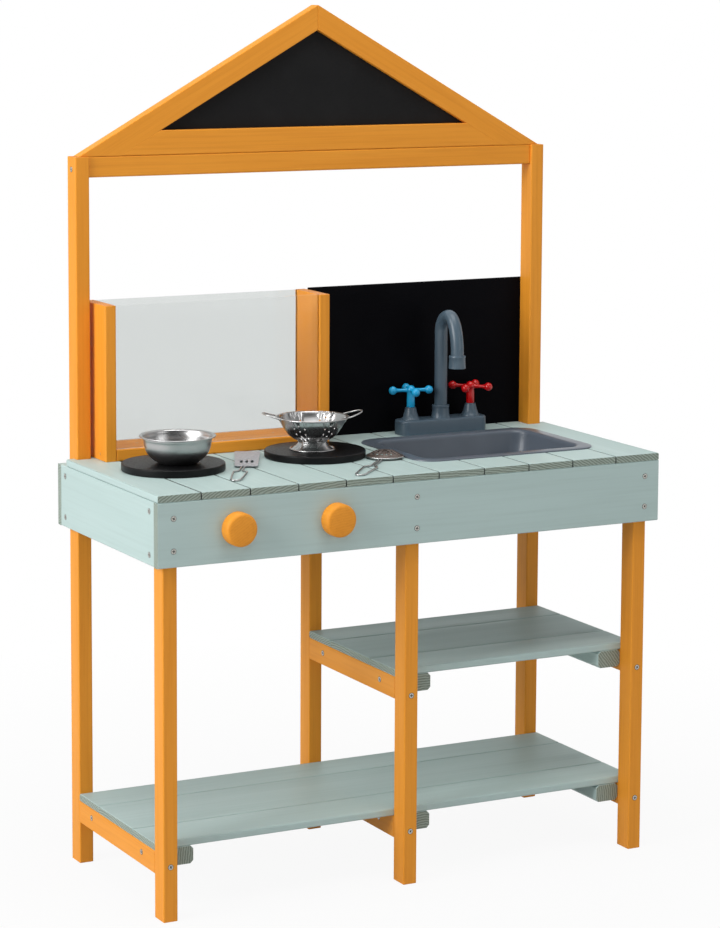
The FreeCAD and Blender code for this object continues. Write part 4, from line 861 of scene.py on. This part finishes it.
def skin(work, rings, matrix, cap_first=False, cap_last=False):
    """Join rings of equal length into a skin."""
    rows = [[work.verts.new(matrix @ point) for point in ring] for ring in rings]
    count = len(rows[0])
    for low, high in zip(rows, rows[1:]):
        for step in range(count):
            after = (step + 1) % count
            work.faces.new((low[step], low[after], high[after], high[step]))
    if cap_first:
        work.faces.new(rows[0][::-1])
    if cap_last:
        work.faces.new(rows[-1])


def sink():
    """Mould the basin in one skin: turned-down lip, flange, drafted walls and a rounded floor."""
    middle, low, high = middle_of("sink_basin")
    across = (high.x - low.x) / 2
    deep = (high.y - low.y) / 2
    depth = high.z - low.z
    flange, lip, fold = SINK_FLANGE * MM, SINK_LIP * MM, SINK_FOLD * MM
    floor_fold, draft, wall = SINK_FLOOR_FOLD * MM, SINK_DRAFT * MM, SINK_WALL * MM
    # Each ring's inset from the rim and its height in metres, and its corner radius in millimetres.
    upper = [(0.0, -wall, 32), (0.0, -lip, 32), (0.0005, -0.0005, 31.5), (lip, 0.0, 30.5)]
    quarter = [math.radians(90 * step / 8) for step in range(9)]
    for step, turn in enumerate(quarter):
        upper.append((flange - fold + fold * math.sin(turn), -fold * (1 - math.cos(turn)), 24 - step * 0.4))
    for share in (0.35, 0.7):
        upper.append((flange + draft * share, -fold - (depth - fold - floor_fold) * share, 20))
    for step, turn in enumerate(quarter):
        upper.append((flange + draft + floor_fold * (1 - math.cos(turn)),
                      -(depth - wall - floor_fold) - floor_fold * math.sin(turn), 22 - step * 0.8))
    inside = [rounded_ring(across - inset, deep - inset, corner * MM, height)
              for inset, height, corner in upper]
    outside = [inside[0]]
    for inset, height, corner in upper[3:]:
        grown = wall - inset if inset > lip else -inset
        outside.append(rounded_ring(across + grown, deep + grown, corner * MM, height - wall))
    work = bmesh.new()
    stand = Matrix.Translation((middle.x, middle.y, high.z))
    skin(work, outside, stand, cap_last=True)
    skin(work, inside, stand, cap_last=True)
    bmesh.ops.remove_doubles(work, verts=work.verts, dist=1e-6)
    plastic = moulded_plastic("sink_grey_plastic", SINK_GREY, 0.34)
    piece("sink_moulded", to_mesh("sink", work), "sink", "grey_basin", plastic, "sink_basin")


def tap_base():
    """Mould the tap's base: a soft-edged block with a stepped collar and two cones."""
    middle, low, high = middle_of("tap_base")
    across = (high.x - low.x) / 2
    deep = (high.y - low.y) / 2
    block, soft, corner = TAP_BLOCK * MM, TAP_SOFT * MM, TAP_CORNER * MM
    rings = [rounded_ring(across, deep, corner, 0.0)]
    for step in range(7):
        turn = math.radians(90 * step / 6)
        inset = soft * (1 - math.cos(turn))
        height = block - soft + soft * math.sin(turn)
        rings.append(rounded_ring(across - inset, deep - inset, corner - inset, height))
    work = bmesh.new()
    skin(work, rings, Matrix.Translation((middle.x, middle.y, low.z)), True, True)
    # Radii and heights over the block's top.
    collar = [(0.0146, -0.001), (0.0144, 0.0006), (0.0134, 0.0020), (0.0127, 0.0046), (0.0122, 0.0090),
              (0.0119, 0.0148), (0.0125, 0.0154), (0.0125, 0.0175), (0.0121, 0.0180), (0.00935, 0.0180),
              (0.00935, 0.010)]
    cone = [(0.0140, -0.001), (0.0138, 0.0006), (0.0128, 0.0018), (0.0116, 0.0030), (0.0094, 0.0098),
            (0.0078, 0.0160), (0.0076, 0.0171), (0.0071, 0.0175), (0.0036, 0.0175), (0.0036, 0.010)]
    turn_profile(work, collar, 64, Matrix.Translation((middle.x, middle.y, low.z + block)))
    for handle in ("cold_tap_handle", "hot_tap_handle"):
        centre = middle_of(handle)[0]
        turn_profile(work, cone, 48, Matrix.Translation((centre.x, middle.y, low.z + block)))
    plastic = moulded_plastic("tap_grey_plastic", TAP_GREY, 0.30)
    piece("tap_base_moulded", to_mesh("tap_base", work), "table", "grey_tap", plastic, "tap_base")
    return plastic


def spout(plastic):
    """Bend the gooseneck and add its outlet ring."""
    low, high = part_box("tap_spout")
    axis = middle_of("tap_base")[0]
    radius = SPOUT_RADIUS * MM
    bend = SPOUT_BEND * MM
    centre_height = high.z - radius - bend
    path = [Vector((axis.x, axis.y, low.z + (centre_height - low.z) * step / 10)) for step in range(10)]
    for step in range(33):
        turn = math.pi * step / 32
        tall = bend if step <= 16 else SPOUT_FALL * MM
        path.append(Vector((axis.x, axis.y - bend + bend * math.cos(turn),
                            centre_height + bend - tall * (1 - math.sin(turn)))))
    outlet = low.z + SPOUT_OUTLET * MM
    last = path[-1].z
    for step in range(1, 5):
        path.append(Vector((axis.x, axis.y - 2 * bend, last + (outlet + 0.010 - last) * step / 4)))
    work = bmesh.new()
    tube(work, path, radius, 48)
    ring = [(0.0070, 0.010), (0.0070, 0.0008), (0.0078, 0.0), (0.0116, 0.0), (0.0122, 0.0006),
            (0.0114, 0.0148), (0.0118, 0.0156), (0.0118, 0.0174), (0.0113, 0.0184), (0.0092, 0.0186)]
    turn_profile(work, ring, 64, Matrix.Translation((axis.x, axis.y - 2 * bend, outlet)))
    piece("spout_moulded", to_mesh("spout", work), "spout", "grey_tap", plastic, "tap_spout")


def cross_handles():
    """Mould the cross handles with round balls on tapered arms."""
    axis, base_low = middle_of("tap_base")[:2]
    hub = HANDLE_HUB * MM
    stem = [(0.0, 0.0003), (0.0056, 0.0003), (0.0058, 0.0008), (0.0057, 0.0120), (0.0054, hub - 0.0050),
            (0.0058, hub - 0.0030)] + arc(0.0, hub + 0.0003, 0.0066, -24, 90, 12)
    arm = catmull([(0.0, -0.002), (0.0034, 0.0), (0.0030, 0.006), (0.0024, 0.012), (0.0025, 0.018),
                   (0.0030, 0.0205)], 4) + arc(0.0, 0.0265, 0.0060, -60, 90, 14)
    for name, side, degrees, colour, body in (("cold_tap_handle", "blue", -13.4, TAP_BLUE, "cold_handle"),
                                              ("hot_tap_handle", "red", -45.0, TAP_RED, "hot_handle")):
        foot = Vector((middle_of(name)[0].x, axis.y, base_low.z + (TAP_BLOCK + TAP_CONE) * MM))
        stand = Matrix.Translation(foot) @ Matrix.Rotation(math.radians(degrees), 4, "Z")
        work = bmesh.new()
        turn_profile(work, stem, 48, stand)
        level = Matrix.Translation((0, 0, hub)) @ Matrix.Rotation(math.radians(90), 4, "Y")
        for quarter in range(4):
            turn_profile(work, arm, 32, stand @ Matrix.Rotation(math.radians(90 * quarter), 4, "Z") @ level)
        plastic = moulded_plastic(side + "_handle_plastic", colour, 0.24, 0.25)
        piece(name + "_moulded", to_mesh(name, work), body, side + "_plastic", plastic, name)


# Screws

def screw_spots():
    """Find each wood screw's head and outward direction from the CAD solids."""
    work = bmesh.new()
    work.from_mesh(NODES["wood_screws"].data)
    bmesh.ops.remove_doubles(work, verts=work.verts, dist=1e-6)
    left = set(work.verts)
    spots = []
    while left:
        stack = [left.pop()]
        group = []
        while stack:
            vertex = stack.pop()
            group.append(vertex.co.copy())
            for edge in vertex.link_edges:
                other = edge.other_vert(vertex)
                if other in left:
                    left.remove(other)
                    stack.append(other)
        low = Vector([min(point[n] for point in group) for n in range(3)])
        high = Vector([max(point[n] for point in group) for n in range(3)])
        size = high - low
        axis = max(range(3), key=lambda n: size[n])
        middle = (low + high) / 2
        at_low = sum(1 for point in group if point[axis] < low[axis] + 1e-4)
        way = Vector((0, 0, 0))
        way[axis] = -1.0 if at_low > 2 else 1.0
        head = middle.copy()
        head[axis] = low[axis] if at_low > 2 else high[axis]
        spots.append((head, way))
    work.free()
    # The set above gives its vertices in no fixed order.
    return sorted(spots, key=lambda spot: [round(part, 5) for part in spot[0]])


def screws():
    """Set a countersunk cross-head screw at each place."""
    steel = plain_steel("screw_plated_steel", SCREW_STEEL, 0.34)
    # The dark rings round the heads and the dark crosses in the recesses are painted shade.
    shadow = moulded_plastic("screw_recess_shadow", SCREW_SHADOW, 0.7)
    work = bmesh.new()
    painted_shade = bmesh.new()
    radius = SCREW_HEAD * MM / 2
    recess = SCREW_RECESS * MM
    slot = SCREW_SLOT * MM
    wide = SCREW_CROSS * MM
    head_profile = [(radius * 0.92, 0.0), (radius, -0.00025), (radius * 0.98, -0.0006),
                    (radius * 0.45, -0.0026)]
    cross = [(wide, -slot), (wide, slot), (slot, slot), (slot, wide), (-slot, wide), (-slot, slot),
             (-wide, slot), (-wide, -slot), (-slot, -slot), (-slot, -wide), (slot, -wide), (slot, -slot)]
    count = len(cross)
    spots = [(head, way, 1.0) for head, way in screw_spots()]
    spots += [(Vector(head) * MM, Vector(way), SMALL_SCREW) for head, way in SMALL_SCREW_SPOTS]
    for number, (head, way, scale) in enumerate(spots):
        spin = Matrix.Rotation(number * 1.1, 4, "Z") @ Matrix.Diagonal((scale, scale, 1.0, 1.0))
        stand = Matrix.Translation(head) @ way.to_track_quat("Z", "Y").to_matrix().to_4x4() @ spin
        rim = turn_profile(work, head_profile, SCREW_SIDES, stand)[0]
        top = [work.verts.new(stand @ Vector((x, y, -0.00005))) for x, y in cross]
        bottom = [work.verts.new(stand @ Vector((x * 0.5, y * 0.5, -recess))) for x, y in cross]
        for step in range(count):
            after = (step + 1) % count
            work.faces.new((top[step], top[after], bottom[after], bottom[step]))
        work.faces.new(bottom)
        # Painted shade: a dark ring just under the head's edge and a dark cross in its recess.
        tube(painted_shade, circle(stand, radius, -0.00042, 24), 0.0004, 6, True)
        painted_shade.faces.new([painted_shade.verts.new(stand @ Vector((x, y, -0.0001))) for x, y in cross])
        edges = []
        for loop in (rim, top):
            edges += [work.edges.get((loop[step - 1], loop[step])) for step in range(len(loop))]
        bmesh.ops.triangle_fill(work, use_beauty=True, edges=edges)
    piece("cross_head_screws", to_mesh("screws", work), "table", "zinc_steel", steel, "wood_screws")
    piece("painted_screw_shade", to_mesh("painted_screw_shade", painted_shade), "table", "zinc_steel", shadow, "wood_screws")


def dress_bolts():
    """Give the knob bolts their plating."""
    plated = plain_steel("bolt_plated_steel", SCREW_STEEL, 0.35)
    for bolt in ("left_knob_bolt", "right_knob_bolt"):
        dress(bolt, plated)


# Surroundings

def world():
    """Soft light, white where seen directly, and in reflections a white that dims toward the front."""
    nodes = Nodes("studio_world", True)
    bpy.context.scene.world = nodes.settle(Color=WHITE, Strength=SOFT_LIGHT)
    seen = nodes.add("Background", Color=WHITE, Strength=1.0)
    direction = nodes.add("SeparateXYZ", Vector=nodes.add("TexCoord").outputs["Generated"])
    fade = nodes.ramp(direction.outputs["Y"], -0.75, 0.25, FRONT_GLOSS, 1.0)
    mirrored = nodes.add("Background", Color=WHITE, Strength=fade)
    path = nodes.add("LightPath").outputs
    direct = nodes.math("MAXIMUM", path["Is Camera Ray"], path["Is Transmission Ray"])
    glossy = nodes.row("MixShader", path["Is Glossy Ray"], nodes.surface.outputs[0], mirrored.outputs[0])
    nodes.put(nodes.end, nodes.row("MixShader", direct, glossy, seen.outputs[0]))


def floor():
    """A pale floor that takes the kitchen's soft shadow."""
    work = bmesh.new()
    corners = ((-1, -1), (1, -1), (1, 1), (-1, 1))
    work.faces.new([work.verts.new((x * FLOOR_HALF, y * FLOOR_HALF, 0.0)) for x, y in corners])
    ground = bpy.data.objects.new("studio_floor", to_mesh("studio_floor", work))
    bpy.context.scene.collection.objects.link(ground)
    nodes = Nodes("studio_floor_paint")
    ground.data.materials.append(nodes.settle(Base_Color=FLOOR_GREY, Roughness=0.8))
    glow = nodes.add("Emission", Color=WHITE, Strength=1.0)
    path = nodes.add("LightPath").outputs
    seen = nodes.math("MAXIMUM", path["Is Camera Ray"], path["Is Transmission Ray"])
    seen = nodes.math("MAXIMUM", seen, path["Is Glossy Ray"])
    reach = nodes.length(nodes.add("TexCoord").outputs["Object"])
    share = nodes.math("MULTIPLY", seen, nodes.ramp(reach, FLOOR_NEAR, FLOOR_FAR, FLOOR_NEAR_WHITE, 1.0))
    nodes.put(nodes.end, nodes.row("MixShader", share, nodes.surface.outputs[0], glow.outputs[0]))


def lamp(name, place, target, size, power):
    """A square soft lamp aimed at a point."""
    light = bpy.data.lights.new(name, "AREA")
    light.shape = "SQUARE"
    light.size = size
    light.energy = power
    shown = bpy.data.objects.new(name, light)
    bpy.context.scene.collection.objects.link(shown)
    shown.location = place
    shown.rotation_euler = (Vector(target) - Vector(place)).to_track_quat("-Z", "Y").to_euler()


def lights():
    """A large key from the left, a weak front fill and a soft top light."""
    lamp("key_left", (-3.3, -0.4, 1.9), (0, 0, 0.6), 2.0, 98)
    lamp("fill_front", (1.9, -3.6, 1.4), (0.1, 0, 0.6), 2.4, 20)
    lamp("top_soft", (-0.2, -0.7, 3.4), (0, 0, 0.5), 2.2, 50)


def camera():
    """Set the camera where the photograph was taken from."""
    level = math.cos(CAMERA_PITCH)
    forward = Vector((math.sin(CAMERA_YAW) * level, math.cos(CAMERA_YAW) * level, math.sin(CAMERA_PITCH)))
    right = Vector((math.cos(CAMERA_YAW), -math.sin(CAMERA_YAW), 0.0))
    up = right.cross(forward)
    across = math.cos(CAMERA_ROLL) * right + math.sin(CAMERA_ROLL) * up
    above = -math.sin(CAMERA_ROLL) * right + math.cos(CAMERA_ROLL) * up
    lens = bpy.data.cameras.new("photo_camera")
    lens.lens = CAMERA_LENS
    lens.sensor_width = CAMERA_SENSOR
    lens.shift_y = CAMERA_SHIFT_UP
    shown = bpy.data.objects.new("photo_camera", lens)
    bpy.context.scene.collection.objects.link(shown)
    turn = Matrix((across, above, -forward)).transposed().to_4x4()
    shown.matrix_world = Matrix.Translation(CAMERA_PLACE) @ turn
    bpy.context.scene.camera = shown


camera()
dress_timbers()
dress_boards()
hob_discs()
knobs()
bowl()
colander()
sink()
spout(tap_base())
cross_handles()
screws()
dress_bolts()
spatula()
skimmer()
world()
floor()
lights()
bpy.context.scene.view_settings.view_transform = "Standard"
